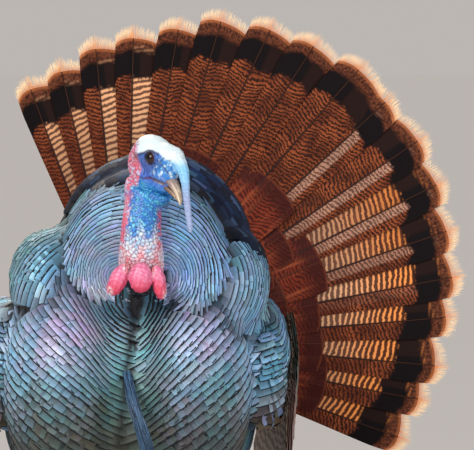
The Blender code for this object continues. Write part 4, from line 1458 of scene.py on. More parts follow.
# the tips' line as (y, z), from the outermost primary to the innermost secondary
TIP_LINE = (
    (0.048, -0.014), (0.138, 0.018), (0.183, 0.088), (0.205, 0.154), (0.218, 0.214), (0.223, 0.277),
    (0.204, 0.352), (0.186, 0.380))
QUILL_STEPS = (0, 3, 6, 9, 12, 15, 18, 19)
LAST_QUILL = 19.0
# rows of coverts: number, first quill, share of a quill's length, height off the quills, the reach of
# a feather's leading and trailing edge from its shaft
WING_ROWS = (
    (17, 0.6, 0.40, 0.0024, 0.0125, 0.0205), (16, 1.2, 0.27, 0.0046, 0.0120, 0.0180),
    (15, 1.8, 0.175, 0.0068, 0.0115, 0.0160))


def quill_ends(index):
    """Root and tip, as (y, z), of quills whose numbers may be fractions."""
    first = np.clip(index / (PRIMARIES - 1), 0, 1)[:, None]
    second = np.clip((index - PRIMARIES) / (SECONDARIES - 1), 0, 1)[:, None]
    a = np.array(PRIMARY_ROOTS)
    b = np.array(SECONDARY_ROOTS)
    root = np.where(index[:, None] < PRIMARIES - 0.5, a[0] + (a[1] - a[0]) * first,
                    b[0] + (b[1] - b[0]) * second)
    dense = through(TIP_LINE, 71)
    steps = np.interp(np.linspace(0, 7, 71), np.arange(8), QUILL_STEPS)
    tip = np.stack([np.interp(index, steps, dense[:, k]) for k in range(2)], 1)
    return root, tip


def wing_place(side, y, z, t, lift):
    """Places on the drooped wing's sheet, which hugs the flank behind and flares at the floor."""
    rear = np.maximum(0.0, (y + 0.02) / 0.24)
    low = np.maximum(0.0, (0.20 - z) / 0.20)
    x = WING_OUT - WING_HUG * rear ** 1.4 + WING_FLARE * low - WING_TUCK * (1 - t) ** 2 + lift
    return np.stack([lean_x(side * x, z), y, np.maximum(z, 0.0010)], -1) + BIRD


def wing_vanes(name, side, index, share, lift, tilt, lead, trail, rows, columns, seed):
    """Quills or coverts along the wing, the leading edge of each over the one before it."""
    rng = np.random.default_rng(SEED + seed)
    root, tip = quill_ends(index)
    u = np.linspace(-1, 1, columns)
    t = np.linspace(0, 1, rows)
    grids, shafts, facts = [], [], []
    for n, i in enumerate(index):
        (y0, z0), (y1, z1) = root[n], tip[n]
        end = min(share(i) * (1 + rng.normal(0, 0.012)), (z0 - 0.004) / (z0 - z1))
        whole = math.hypot(y1 - y0, z1 - z0)
        drop = 0.030 * (lead + trail) / 0.04 * np.abs(u[None, :]) ** 2.6 / max(end, 0.3)
        line = end * t[:, None] * (1 - drop)
        bow = 0.018 * np.sin(math.pi * line)
        y = y0 + (y1 - y0) * line - bow * (z0 - z1) * 2.2
        z = z0 + (z1 - z0) * line
        slope = unit(np.array((y1 - y0, z1 - z0)))
        ahead = np.array((-slope[1], slope[0]))
        ahead = ahead if ahead[0] < 0 else -ahead
        wide = np.where(u > 0, lead, trail)[None, :] * (0.30 + 0.70 * ease(line / end, 0.0, 0.45))
        wide = wide * (1 - 0.30 * ease(line / end, 0.86, 1.0) * (np.abs(u) > 0.3)[None, :])
        aside = u[None, :] * wide
        y, z = y + ahead[0] * aside, z + ahead[1] * aside
        ripple = 0.0004 * np.sin(line * 40 + rng.random() * 6)
        camber = -0.10 * np.abs(aside) * np.abs(u[None, :])
        height = lift + tilt * u[None, :] + ripple + camber
        grids.append(wing_place(side, y, z, line, height))
        middle = columns // 2
        shafts.append(wing_place(side, y[:, middle], z[:, middle], line[:, middle],
                                 height[:, middle] + 0.0004))
        facts.append(np.stack([
            line * whole, (end - line) * whole, np.broadcast_to(u, line.shape), np.abs(aside),
            np.full_like(line, rng.random()), np.full_like(line, i / LAST_QUILL),
            (n + 0.5 + HALF_STRIP * u[None, :]) / len(index) + 0 * line,
            MAP_LOW + MAP_SPAN * t[:, None] + 0 * line]))
    keys = ("out", "from_tip", "across", "aside", "pick", "inward")
    mesh = vane_sheets(name, grids, np.array((side, 0.0, 0.0)), WING_VANE_THICK, facts, keys)
    return mesh, np.array(shafts)


def quill_finish(made):
    """Flight feathers: umber with pale bars that fade inward along the wing."""
    f = Finish("flight_quill")
    out, tip, aside, pick, inward = f.values("out", "from_tip", "aside", "pick", "inward")
    drift = f.noise_on(4.0, aside * 60.0, out * 40.0, pick * 40.0)
    fine = f.noise_on(3.0, aside * 400.0, out * 300.0, pick * 40.0)
    bars = wavy_bars(out - aside * 0.45, made.bar_gap, drift, 6.0, fine, 2.0, pick * 40.0)
    umber = f.mix(inward, made.dark, rgb(96, 72, 58))
    pale = f.mix(inward, made.pale, rgb(150, 126, 108))
    tone = f.mix(bars.step(0.0, 0.45), umber, pale)
    tone = f.mix((tip + (drift - 0.5) * 0.01).step(0.030, 0.018) * 0.8, tone, umber)
    tone = f.mix(tip.step(0.004, 0.0015) * 0.5, tone, pale)
    normal = f.bump(barb_lines(out, aside, 0.8) * 0.5 + drift * 2.0, 0.22, 0.0008)
    return f.done(Base_Color=tone, Roughness=0.5 + drift * 0.15, Normal=normal)


def wing_covert_finish():
    """Wing coverts: bronze and rose brown, each with a black band and a paler tip."""
    f = Finish("wing_covert")
    out, tip, aside, pick, inward = f.values("out", "from_tip", "aside", "pick", "inward")
    drift = f.noise_on(4.0, aside * 70.0, out * 50.0, pick * 40.0)
    rose = f.mix(pick, rgb(136, 104, 92), rgb(112, 92, 92))
    bronze = f.mix(pick, rgb(92, 84, 64), rgb(84, 108, 108))
    tone = f.mix(inward.step(0.35, 0.6), rose, bronze)
    sheen = f.mix(drift, tone, f.dyed(tone, 1.5, 1.45, 1.4))
    wobble = (drift - 0.5) * 0.006
    tone = f.mix((tip + wobble).step(0.014, 0.009), sheen, rgb(18, 16, 20))
    tone = f.mix((tip + wobble * 0.3).step(0.0045, 0.003), tone, rgb(120, 104, 92))
    normal = f.bump(barb_lines(out, aside, 0.8) * 0.5 + drift * 2.0, 0.22, 0.0008)
    return f.done(Base_Color=tone, Roughness=0.42 + drift * 0.15, Metallic=0.2, Normal=normal)


def wing_feathers(made):
    """Both wings: flight quills with their shafts, and three rows of coverts over them."""
    quills, coverts = quill_finish(made), wing_covert_finish()
    for tag, side in (("L", 1.0), ("R", -1.0)):
        whole = np.arange(PRIMARIES + SECONDARIES, dtype=float)
        mesh, shafts = wing_vanes("flight_quills_" + tag, side, whole, lambda i: 0.985, lift=0.0, tilt=0.0009,
                                  lead=0.0150, trail=0.0290, rows=40, columns=13, seed=30)
        finish_piece(add_piece(mesh), quills, "quills", "wing_quills_" + tag)
        for k, (count, start, share, high, lead, trail) in enumerate(WING_ROWS):
            index = np.linspace(start, LAST_QUILL, count)
            reach = lambda i: share * (1.0 - 0.22 * max(0.0, (9.5 - i) / 9.5))
            name = "wing_coverts_%s_%d" % (tag, k + 1)
            mesh, _ = wing_vanes(name, side, index, reach, lift=high, tilt=0.0009, lead=lead, trail=trail,
                                 rows=16, columns=9, seed=40 + k)
            finish_piece(add_piece(mesh), coverts, "quills")
        ribs = shaft_mesh("quill_shafts_" + tag, shafts[:, ::2], base=0.0016, tip=0.0004)
        finish_piece(add_piece(ribs), shaft_finish("quill_shaft", rgb(84, 66, 54), rgb(44, 36, 34)), "quills")


# ---------------------------------------------------------------- head and neck skin

CROWN_WHITE = rgb(214, 230, 236)
ICE = rgb(128, 190, 232)
ULTRAMARINE = rgb(34, 76, 176)
VIOLET = rgb(64, 72, 164)
AZURE = rgb(24, 122, 206)
TURQUOISE = rgb(70, 184, 218)
MILK = rgb(206, 220, 232)
BLUSH = rgb(234, 146, 158)
SCARLET = rgb(222, 44, 62)
HOT_PINK = rgb(234, 98, 122)
LAVENDER = rgb(150, 166, 206)
PLUM = rgb(30, 22, 58)
GAPE_RED = rgb(92, 30, 66)
GAPE_HORN = rgb(74, 60, 60)
EAR_BROWN = rgb(104, 74, 60)

# folds of the face as (forward, up) lines, each with its depth (a ridge is positive) and half width
FOLDS = (
    (((0.0090, 0.0020), (0.0200, -0.0030), (0.0350, -0.0125)), -0.0012, 0.0011),
    (((0.0240, -0.0195), (0.0120, -0.0200), (0.0045, -0.0212), (-0.0015, -0.0245)), -0.0013, 0.0010),
    (((-0.0190, -0.0025), (-0.0090, 0.0046), (0.0000, 0.0084), (0.0095, 0.0100)), 0.0010, 0.0012),
    (((-0.0180, -0.0050), (-0.0095, 0.0020), (-0.0060, 0.0060)), -0.0006, 0.0008),
    (((0.0075, -0.0030), (0.0090, -0.0075), (0.0140, -0.0120)), -0.0008, 0.0008),
    (((0.0050, -0.0075), (0.0065, -0.0120), (0.0100, -0.0165)), -0.0007, 0.0008),
    (((-0.0060, -0.0100), (-0.0040, -0.0150), (0.0010, -0.0190)), -0.0007, 0.0008),
    (((-0.0120, -0.0090), (-0.0110, -0.0160), (-0.0060, -0.0220)), -0.0008, 0.0009),
    (((-0.0020, -0.0250), (-0.0100, -0.0270), (-0.0190, -0.0265)), -0.0008, 0.0010),
    (((0.0120, -0.0010), (0.0150, 0.0040), (0.0160, 0.0085)), -0.0005, 0.0009),
)
# rings of creases below the eye, by their distance from its middle
LID_FOLDS = (0.0102, 0.0124, 0.0147)
# a cell of the grid that finds neighbours, and not less than the widest spacing of caruncles
SCATTER_CELL = 0.003
# the neck's hidden root as (x, y, z, radius)
STUMP = ((0.006, -0.110, 0.470, 0.030), (0.004, -0.150, 0.492, 0.0300), (0.002, -0.186, 0.513, 0.0262))


def lid_ring(side):
    """The two lids as one oval bead that holds the eyeball."""
    count, sides = 40, 8
    turn = np.linspace(0, 2 * math.pi, count, endpoint=False)
    path = []
    for t in turn:
        a, c = 0.0069 * math.cos(t), 0.0068 * math.sin(t)
        out = EYE_OUT + math.sqrt(max(0.0, EYE_R ** 2 - a * a - c * c)) - 0.0002
        path.append(at_head(a, side * out, c))
    path = np.array(path)
    rings = []
    for k, p in enumerate(path):
        tangent = unit(path[(k + 1) % count] - path[k - 1])
        away = unit(p - at_head(0.0, side * EYE_OUT, 0.0))
        over = np.cross(tangent, away)
        loop = np.arange(sides) * 2 * math.pi / sides
        thick = 0.00105 + 0.0003 * max(0.0, math.sin(turn[k]))
        rings.append(p + thick * (np.cos(loop)[:, None] * away + np.sin(loop)[:, None] * over))
    rings = np.array(rings)
    i = np.arange(count)[:, None] * sides
    k = np.arange(sides)[None, :]
    j = ((np.arange(count) + 1) % count)[:, None] * sides
    n = (k + 1) % sides
    quads = np.stack([i + k, i + n, j + n, j + k], -1).reshape(-1, 4)
    return turned_out(make_mesh("lids", rings.reshape(-1, 3), quads))


def stump_mesh():
    """The neck's hidden root, which runs down into the body."""
    steps, sides = 10, 24
    rows = through(STUMP, steps)
    rings = tube_rows(rows[:, :3] + BIRD, rows[:, 3], sides)
    quads, threes = loft_faces(steps, sides)
    return turned_out(make_mesh("stump", loft_points(rings), quads, threes))


def bare_head():
    """Head, neck, wattles, snood and lids as one fine surface."""
    meshes = [welded_copy(node, node + "_flesh", HEAD_SWELL) for node in HEAD_NODES]
    meshes += [lid_ring(1.0), lid_ring(-1.0), stump_mesh()]
    return melted("head_skin", meshes, HEAD_VOXEL, smooth=3)


def line_distance(x, y, line):
    """Distance of (x, y) rows from a smooth line."""
    dense = through(line, 24)
    best = np.full(len(x), 1.0)
    for p, q in zip(dense, dense[1:]):
        d = q - p
        t = np.clip(((x - p[0]) * d[0] + (y - p[1]) * d[1]) / (d @ d), 0, 1)
        best = np.minimum(best, np.hypot(x - p[0] - t * d[0], y - p[1] - t * d[1]))
    return best


def scattered(points, spacing, rng, tries):
    """Indices of points that stand at least their own spacing apart."""
    cell = SCATTER_CELL
    grid = {}
    chosen = []
    for index in rng.permutation(len(points))[:tries]:
        p = points[index]
        key = tuple((p // cell).astype(int))
        near = [j for dx in (-1, 0, 1) for dy in (-1, 0, 1) for dz in (-1, 0, 1)
                for j in grid.get((key[0] + dx, key[1] + dy, key[2] + dz), ())]
        if all(np.dot(points[j] - p, points[j] - p) > spacing[index] ** 2 for j in near):
            grid.setdefault(key, []).append(index)
            chosen.append(index)
    return np.array(chosen)


def head_regions(points):
    """Shares from 0 to 1 of each part of the head's skin at rows of places."""
    a, b, c = in_head(points)
    z = points[:, 2]
    x, y = points[:, 0] - BIRD[0], points[:, 1] - BIRD[1]
    neck = ease(0.606 + 0.30 * (x - 0.004) - z, -0.006, 0.008)
    neck = neck * (1 - ease(a, 0.000, 0.008) * ease(c, -0.060, -0.040))
    brow = np.interp(a, (-0.034, -0.018, 0.000, 0.009, 0.020, 0.034),
                     (-0.008, -0.003, 0.0078, 0.0098, 0.0075, 0.0050))
    cap = ease(c - brow, -0.0012, 0.0018)
    nape = ease(-0.0170 - 0.46 * (c + 0.008) - a, -0.0010, 0.0022) * ease(-c, -0.0085, 0.0005)
    snood_x = np.interp(z, (0.559, 0.564, 0.578, 0.596, 0.612, 0.6275, 0.640),
                        (0.0540, 0.0538, 0.0520, 0.0500, 0.0487, 0.0455, 0.0400))
    snood_y = np.interp(z, (0.559, 0.578, 0.612, 0.6275, 0.640), (-0.2425, -0.2440, -0.2440, -0.2380, -0.228))
    reach = np.interp(z, (0.556, 0.60, 0.622, 0.640), (0.0055, 0.0062, 0.0095, 0.0110))
    snood = ease(reach - np.hypot(x - snood_x, y - snood_y), -0.0010, 0.0012) * ease(0.636 - z, -0.004, 0.010)
    wattle, near_wattle = np.zeros(len(points)), np.zeros(len(points))
    for node in ("wattle_M", "wattle_R", "wattle_L"):
        low, high = (np.array(corner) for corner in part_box(node))
        middle, radii = (low + high) / 2, (high - low) / 2
        away = np.linalg.norm((points - middle) / radii, axis=1)
        wattle = np.maximum(wattle, ease(1.16 - away, 0.0, 0.10))
        near_wattle = np.maximum(near_wattle, ease(1.45 - away, 0.0, 0.10))
    throat = ease(a, -0.020, -0.006) * ease(-c, 0.024, 0.031) * (1 - neck)
    return dict(a=a, b=b, c=c, z=z, x=x, neck=neck, cap=cap, nape=nape * (1 - neck), snood=snood,
                wattle=wattle, near_wattle=near_wattle, throat=throat)


def shape_head(points, normals, made):
    """Moves the head's bare points into lids, folds and caruncles, and gives their colours."""
    crown, blue, azure_tone, blush, red_tone = (
        tuple(c) for c in (made.crown, made.face, made.throat, made.neck, made.wattle))
    rng = np.random.default_rng(SEED + 7)
    r = head_regions(points)
    a, b, c, z = r["a"], r["b"], r["c"], r["z"]
    eye = np.hypot(a, c)
    side = ease(np.abs(b), 0.003, 0.008)
    on_head = 1 - r["neck"]
    front = ease(a, 0.006, 0.016) * ease(c, -0.012, -0.002) * (1 - r["snood"])
    rough = np.clip(r["neck"] + r["nape"] + r["throat"] + 0.7 * front, 0, 1)
    rough = rough * (1 - r["wattle"]) * (1 - r["snood"])
    down = ease(0.600 - z, 0.0, 0.070)
    size = 0.0012 + 0.0010 * down + 0.0007 * r["nape"]
    seeds = scattered(points, size * 1.75, rng, 40000)
    tree = KDTree(len(seeds))
    for k, index in enumerate(seeds):
        tree.insert(Vector(points[index]), k)
    tree.balance()
    wavy = points + 0.00055 * np.sin(points[:, [1, 2, 0]] * 1900 + 2.0 * np.sin(points[:, [2, 0, 1]] * 1100))
    near = [tree.find_n(Vector(p), 2) for p in wavy]
    first = np.array([n[0][2] for n in near])
    second = np.array([n[1][2] for n in near])
    which = np.array([n[0][1] for n in near])
    pick = rng.random(len(seeds))[which]
    swell = np.clip((second - first) / (size * 0.95), 0, 1)
    dome = np.sqrt(1 - (1 - swell) ** 2) - 0.5
    move = rough * size * (0.80 + 0.35 * r["nape"]) * dome * (0.6 + 0.8 * pick)
    crease = rough * (1 - ease(swell, 0.05, 0.75))

    folds = np.zeros(len(points))
    for line, depth, width in FOLDS:
        away = line_distance(a, c, line)
        mark = bell(away, width) * side * on_head
        folds += depth * mark
        if depth < 0:
            crease = np.maximum(crease, mark * 0.9)
    below = ease(-c, -0.004, 0.003) * (1 - ease(-c, 0.016, 0.022))
    for radius in LID_FOLDS:
        mark = bell(eye - radius, 0.0007) * side * below
        folds -= 0.00055 * mark
        crease = np.maximum(crease, mark * 0.7)
    ear = np.hypot(a + 0.0225, c + 0.0085)
    folds += side * (0.0007 * bell(ear - 0.0042, 0.0012) - 0.0016 * bell(ear, 0.0026))
    folds -= 0.0016 * ease(0.0064 - eye, 0.0, 0.0008) * side * on_head
    folds *= 1 - r["snood"]
    wrinkle = np.sin(z * 2 * math.pi / 0.0027 + 2.2 * np.sin(z * 700 + 1.0) + 1.5 * np.sin(b * 500 + z * 300))
    folds += 0.00020 * r["snood"] * wrinkle
    crease = np.maximum(crease, r["snood"] * ease(-wrinkle, 0.5, 1.0) * 0.25)
    lump = np.sin(points @ np.array((700.0, 400.0, 300.0)))
    lump = lump * np.sin(points @ np.array((-300.0, 500.0, 640.0)))
    folds += r["wattle"] * 0.00042 * lump
    folds += r["cap"] * 0.00012 * np.sin(a * 2600 + 3 * np.sin(b * 700)) * on_head
    moved = points + normals * (move + folds)[:, None] * made.fold_depth

    tone = np.tile(blue, (len(points), 1))
    patchy = 0.5 + 0.5 * np.sin(a * 1100 + 2.0 * np.sin(c * 800)) * np.sin(c * 1300 + 1.0)
    tone = blend_rows(tone, rgb(84, 150, 218), 0.7 * patchy)
    tone = blend_rows(tone, VIOLET, ease(-c, 0.002, 0.014) * (0.15 + 0.25 * pick) * (1 - ease(a, 0.0, 0.012)))
    forehead = ease(a - 0.35 * (c + 0.004), 0.0068, 0.0120) * ease(c, -0.018, -0.008)
    speckle = blend_rows(ICE, azure_tone, 0.95 * ease(pick, 0.10, 0.75) * ease(0.014 - c, 0.0, 0.010))
    speckle = blend_rows(speckle, crown, (pick < 0.24) * 0.75)
    tone = blend_rows(tone, speckle, forehead)
    azure = blend_rows(azure_tone, TURQUOISE, ease(pick, 0.35, 0.95))
    tone = blend_rows(tone, azure, r["throat"])
    tone = blend_rows(tone, crown, r["cap"])
    tone = blend_rows(tone, ICE, r["cap"] * ease(a, 0.014, 0.030) * ease(0.008 - c, 0.0, 0.010) * 0.8)
    pale = blend_rows(MILK, ICE, ease(pick, 0.50, 0.8) * 0.8)
    pale = blend_rows(pale, blush, ease(-pick, -0.20, -0.08) * 0.4)
    pink = blend_rows(blush, MILK, ease(pick, 0.45, 0.95) * 0.75)
    drift = 0.006 * np.sin(r["x"] * 420 + 1.0) + 0.014 * (pick - 0.5)
    column = blend_rows(azure, pale, ease(0.568 + drift - z, 0.0, 0.018))
    column = blend_rows(column, pink, ease(0.541 + drift - z, 0.0, 0.014))
    tone = blend_rows(tone, column, r["neck"])
    rose = blend_rows(blend_rows(blush, HOT_PINK, 0.15 + 0.5 * pick), MILK, ease(pick, 0.45, 0.85) * 0.9)
    stray = 0.006 * (pick - 0.5)
    hind = ease(-0.0085 + stray - r["x"] + 0.16 * (z - 0.59), -0.001, 0.002)
    hind = hind * r["neck"] * ease(z, 0.545, 0.570)
    tone = blend_rows(tone, rose * (0.86, 0.74, 0.92), np.maximum(r["nape"], hind))
    edge = ease(np.abs(r["x"] - 0.001), 0.0150, 0.0185) * ease(z, 0.530, 0.545) * (1 - ease(z, 0.575, 0.592))
    tone = blend_rows(tone, blend_rows(red_tone, HOT_PINK, pick), edge * r["neck"] * (pick > 0.35) * 0.8)
    flesh = blend_rows(ICE, LAVENDER, ease(0.622 - z, 0.0, 0.030))
    tone = blend_rows(tone, flesh, r["snood"])
    low = ease(0.515 - z, 0.0, 0.018)
    mottle = ease(lump, 0.0, 0.8)
    red = blend_rows(HOT_PINK, red_tone, np.clip(low * 0.75, 0, 1))
    red = blend_rows(red, blush, np.clip((1 - low) * (0.25 + 0.6 * mottle), 0, 1))
    # painted shade: deeper red between the caruncle cells of the wattles
    red = blend_rows(red, rgb(150, 30, 56), np.clip(0.9 - swell * 2, 0, 1) * 0.55)
    tone = blend_rows(tone, red * (0.90, 1.0, 1.35), r["wattle"])
    warm = np.clip(np.maximum(ease(0.560 - z, 0.0, 0.025), np.maximum(r["nape"], hind)), 0, 1)
    shade = blend_rows(rgb(14, 30, 96), rgb(158, 34, 60), warm)
    tone = blend_rows(tone, shade, np.clip(crease, 0, 1) * (0.88 - 0.14 * warm) * (1 - r["cap"] * 0.7))
    tone = blend_rows(tone, INK, ease(0.513 - z, 0.0, 0.004) * (1 - r["near_wattle"]))
    mouth = line_distance(a, c, FOLDS[1][0])
    face = side * on_head
    tone = blend_rows(tone, GAPE_RED, bell(mouth, 0.0011) * face * 0.8)
    tone = blend_rows(tone, GAPE_HORN, bell(mouth, 0.0019) * ease(a, 0.006, 0.013) * face)
    brow = line_distance(a, c, FOLDS[3][0] + ((0.0, 0.0074), (0.0085, 0.0084)))
    tone = blend_rows(tone, PLUM, bell(brow, 0.0011) * side * on_head * 0.85)
    tone = blend_rows(tone, EAR_BROWN, bell(ear, 0.0040) * side * 0.8)
    tone = blend_rows(tone, PLUM, bell(eye - 0.0068, 0.0014) * side * on_head * 0.92)
    speck = np.hypot((a - 0.0225) * 1.6, c - 0.0075)
    tone = blend_rows(tone, PLUM, bell(speck, 0.0022) * ease(b, 0.001, 0.004) * 0.6 * (pick > 0.4))
    return moved, tone, np.clip(crease, 0, 1), pick


def skin_finish():
    """Bare skin: moist bumps over a fine grain, with painted shade in its creases; plain dark hide under the
    coat.
    """
    f = Finish("turkey_skin")
    crease, pick, bare = f.values("crease", "pick", "bare")
    grain = f.noise(2600.0, 3.0)
    broad = f.noise(260.0, 3.0)
    tone = f.tone()
    tone = f.mix((broad - 0.3) * 0.6, tone, f.dyed(tone, 1.3, 1.3, 1.3))
    # painted shade: creases darken further on some bumps
    tone = f.mix(pick * crease * 0.3, tone, f.dyed(tone, 0.5, 0.5, 0.5))
    normal = f.bump(grain + f.cells(1500.0) * 0.7, 0.35, 0.0004)
    f.done(Coat_Roughness=0.25, Specular_IOR_Level=0.55)
    rough = 0.40 + crease * 0.25 + (1.0 - bare) * 0.3
    return f.done(Base_Color=tone, Roughness=rough, Coat_Weight=bare * 0.25, Normal=normal)


def make_skin(made):
    """One closed skin over body, neck and head."""
    skin = bare_body()
    head = bare_head()
    fine = face_tree(head.data)
    apply(skin, "BOOLEAN", operation="UNION", solver="EXACT", object=head)
    bpy.data.objects.remove(head, do_unlink=True)
    skin.name = "skin"
    points, normals = points_of(skin.data), points_of(skin.data, "normal")
    bare = np.array([fine.find_nearest(Vector(p), 2e-5)[0] is not None for p in points])
    tone = np.tile(INK, (len(points), 1)) * 0.5
    crease, pick = np.zeros(len(points)), np.zeros(len(points))
    moved, tone[bare], crease[bare], pick[bare] = shape_head(points[bare], normals[bare], made)
    points[bare] = moved
    put_points(skin.data, points)
    mesh = skin.data
    add_values(mesh, {"crease": crease, "pick": pick, "bare": bare}, {"tone": tone})
    mesh.polygons.foreach_set("use_smooth", np.ones(len(mesh.polygons), bool))
    finish_piece(skin, skin_finish(), "blue_skin", *BODY_NODES, *HEAD_NODES)


# ---------------------------------------------------------------- eyes and bill


def eye_mesh(name, side):
    """An eyeball with a raised clear cornea over its front; ring is the angle from its middle."""
    rows, count = 22, 36
    points, ring = [], []
    axis = RIGHT * side
    for k in range(rows):
        angle = math.pi * (k + 0.5) / rows
        radius = (EYE_R - 0.0001) * (1 + 0.035 * math.exp(-(angle / 0.62) ** 2))
        for j in range(count):
            t = 2 * math.pi * j / count
            aside = math.cos(t) * FORWARD + math.sin(t) * UP
            away = math.cos(angle) * axis + math.sin(angle) * aside
            points.append(at_head(0.0, side * EYE_OUT, 0.0) + radius * away)
            ring.append(angle)
    rings = np.array(points).reshape(rows, count, 3)
    quads, threes = loft_faces(rows, count)
    mesh = make_mesh(name, loft_points(rings), quads, threes, values={"ring": ring + [0.0, math.pi]})
    return turned_out(mesh)


def eye_finish(made):
    f = Finish("eye")
    ring = f.value("ring")
    fleck = f.noise(1800.0, 3.0)
    iris = f.mix(fleck, rgb(26, 12, 10), made.iris)
    tone = f.mix(ring.step(*PUPIL_EDGE), PUPIL_BLACK, iris)
    tone = f.mix(ring.step(*IRIS_EDGE), tone, rgb(52, 24, 26))
    f.done(Coat_Roughness=0.02, IOR=1.40, Specular_IOR_Level=0.2)
    return f.done(Base_Color=tone, Roughness=0.25 + fleck * 0.05, Coat_Weight=0.45)


# halves of the bill as (forward, up, half width, half height)
UPPER_BILL = (
    (0.0140, -0.0140, 0.0072, 0.0056), (0.0200, -0.0142, 0.0068, 0.0056), (0.0260, -0.0150, 0.0062, 0.0054),
    (0.0340, -0.0176, 0.0052, 0.0047), (0.0410, -0.0211, 0.0041, 0.0041), (0.0465, -0.0252, 0.0030, 0.0035),
    (0.0495, -0.0287, 0.0018, 0.0026), (0.0503, -0.0308, 0.0007, 0.0012))
LOWER_BILL = (
    (0.0110, -0.0232, 0.0074, 0.0044), (0.0240, -0.0235, 0.0062, 0.0036), (0.0340, -0.0246, 0.0044, 0.0030),
    (0.0405, -0.0266, 0.0029, 0.0022), (0.0440, -0.0283, 0.0011, 0.0011))


def bill_mesh(name, rows, upper):
    """One half of the bill, smooth along its length, with a sharp cutting edge and a nostril."""
    steps, count = 40, 32
    dense = through(rows, steps)
    turn = np.arange(count) * 2 * math.pi / count
    rings, along, over = [], [], []
    for k, (a, c, w, h) in enumerate(dense):
        side = np.sign(np.cos(turn)) * np.abs(np.cos(turn)) ** 0.85
        up = np.sign(np.sin(turn)) * np.abs(np.sin(turn)) ** 0.9
        edge = -0.62 if upper else 0.70
        up = np.where(up * (-1 if upper else 1) > abs(edge), edge + (up - edge) * 0.35, up)
        share = k / (steps - 1)
        dent = np.zeros(count)
        if upper:
            slot = bell(a - 0.0265, 0.0028) * bell(up - 0.28, 0.20)
            dent = 0.0013 * slot * (np.abs(side) > 0.4)
        rings.append([at_head(a, (w - dent[j]) * side[j], c + h * up[j]) for j in range(count)])
        along += [share] * count
        over += list(up)
    rings = np.array(rings)
    quads, threes = loft_faces(steps, count)
    mesh = make_mesh(name, loft_points(rings), quads, threes,
                     values={"along": along + [0.0, 1.0], "over": over + [0.0, 0.0]})
    return turned_out(mesh)


def horn_finish(name, base, tip, stripe):
    f = Finish(name)
    along, over = f.values("along", "over")
    grain = f.stretched(3.0, 500.0, 500.0, 160.0)
    fine = f.noise(2200.0, 2.0)
    tone = f.mix(along.step(0.15, 0.8) + (grain - 0.5) * 0.5, base, tip)
    streaks = ((over * 7.0) + grain * 5.0).sin().step(0.2, 0.9)
    tone = f.mix(streaks * 0.6, tone, stripe)
    normal = f.bump(grain * 2.0 + fine, 0.3, 0.0003)
    return f.done(Base_Color=tone, Roughness=0.32 + grain * 0.2, Coat_Weight=0.25, Normal=normal)


def eyes(made):
    """Both eyeballs, set deep in their lids."""
    finish = eye_finish(made)
    for tag, side in (("R", 1.0), ("L", -1.0)):
        finish_piece(add_piece(eye_mesh("eyeball_" + tag, side)), finish, "eye", "eye_" + tag)


def bill(made):
    """Both halves of the bill."""
    upper = horn_finish("upper_horn", rgb(120, 96, 110), made.horn, rgb(112, 84, 70))
    lower = horn_finish("lower_horn", rgb(96, 72, 66), rgb(170, 138, 108), rgb(62, 40, 36))
    top, under = bill_mesh("bill_top", UPPER_BILL, True), bill_mesh("bill_under", LOWER_BILL, False)
    finish_piece(add_piece(top), upper, "horn", "bill_upper")
    finish_piece(add_piece(under), lower, "horn", "bill_lower")


# ---------------------------------------------------------------- bristles

# the beard's middle line as (x, y, z, radius)
BEARD_PATH = (
    (-0.014, -0.224, 0.408, 0.0040), (-0.0120, -0.236, 0.400, 0.0048), (-0.0085, -0.256, 0.384, 0.0060),
    (-0.001, -0.269, 0.360, 0.0066), (0.008, -0.2735, 0.330, 0.0078), (0.015, -0.269, 0.290, 0.0080),
    (0.019, -0.262, 0.245, 0.0066), (0.020, -0.259, 0.213, 0.0050))
BEARD_FLAT = 0.7
# how far from the eyes head bristles may grow
BRISTLE_REACH = 0.12


def bristle_finish(name, dark, pale, gloss):
    f = Finish(name)
    along, pick = f.values("along", "pick")
    streak = f.noise_on(2.0, along * 3.0, pick * 90.0)
    # the pale streaks along each bristle are painted sheen over its dark tone
    tone = f.mix(streak.step(0.35, 0.75) * (1.0 - along * 0.3), dark, pale)
    return f.done(Base_Color=tone, Roughness=gloss + pick * 0.15)


def beard(made):
    """Long bristles that hang in one flat tuft from the middle of the breast."""
    rng = np.random.default_rng(SEED + 61)
    steps, count = 14, 60
    path = through(BEARD_PATH, count)
    along = unit(np.gradient(path[:, :3], axis=0))
    side = unit(np.cross(along, (0.0, 1.0, 0.0)))
    over = np.cross(along, side)
    lines, thick = [], []
    for _ in range(made.bristles):
        phi, out = rng.random() * 2 * math.pi, math.sqrt(rng.random()) * 0.97
        end = rng.uniform(0.80, 1.0) - 0.10 * out * rng.random()
        at = np.linspace(0.0, end, steps) * (count - 1)
        i = np.minimum(at.astype(int), count - 2)
        t = (at - i)[:, None]
        mix = lambda rows: rows[i] * (1 - t) + rows[i + 1] * t
        sway = phi + 0.5 * np.sin(at * 0.09 + rng.random() * 6)
        reach = mix(path)[:, 3:] * out
        away = np.cos(sway)[:, None] * mix(side) + BEARD_FLAT * np.sin(sway)[:, None] * mix(over)
        lines.append(mix(path)[:, :3] + BIRD + reach * away)
        thick.append(np.linspace(1.0, 0.35, steps))
    spots = rng.random((made.bristles, 2)) * MAP_SPAN + MAP_LOW
    picks = {"pick": rng.random(made.bristles)}
    mesh = line_mesh("beard_bristles", np.array(lines), np.array(thick), picks, spots)
    finish = bristle_finish("beard_bristle", made.dark, made.pale, 0.38)
    grown(mesh, strand_tree(), finish, "bristle", ("beard",), Thickness=made.thickness, Sides=4)


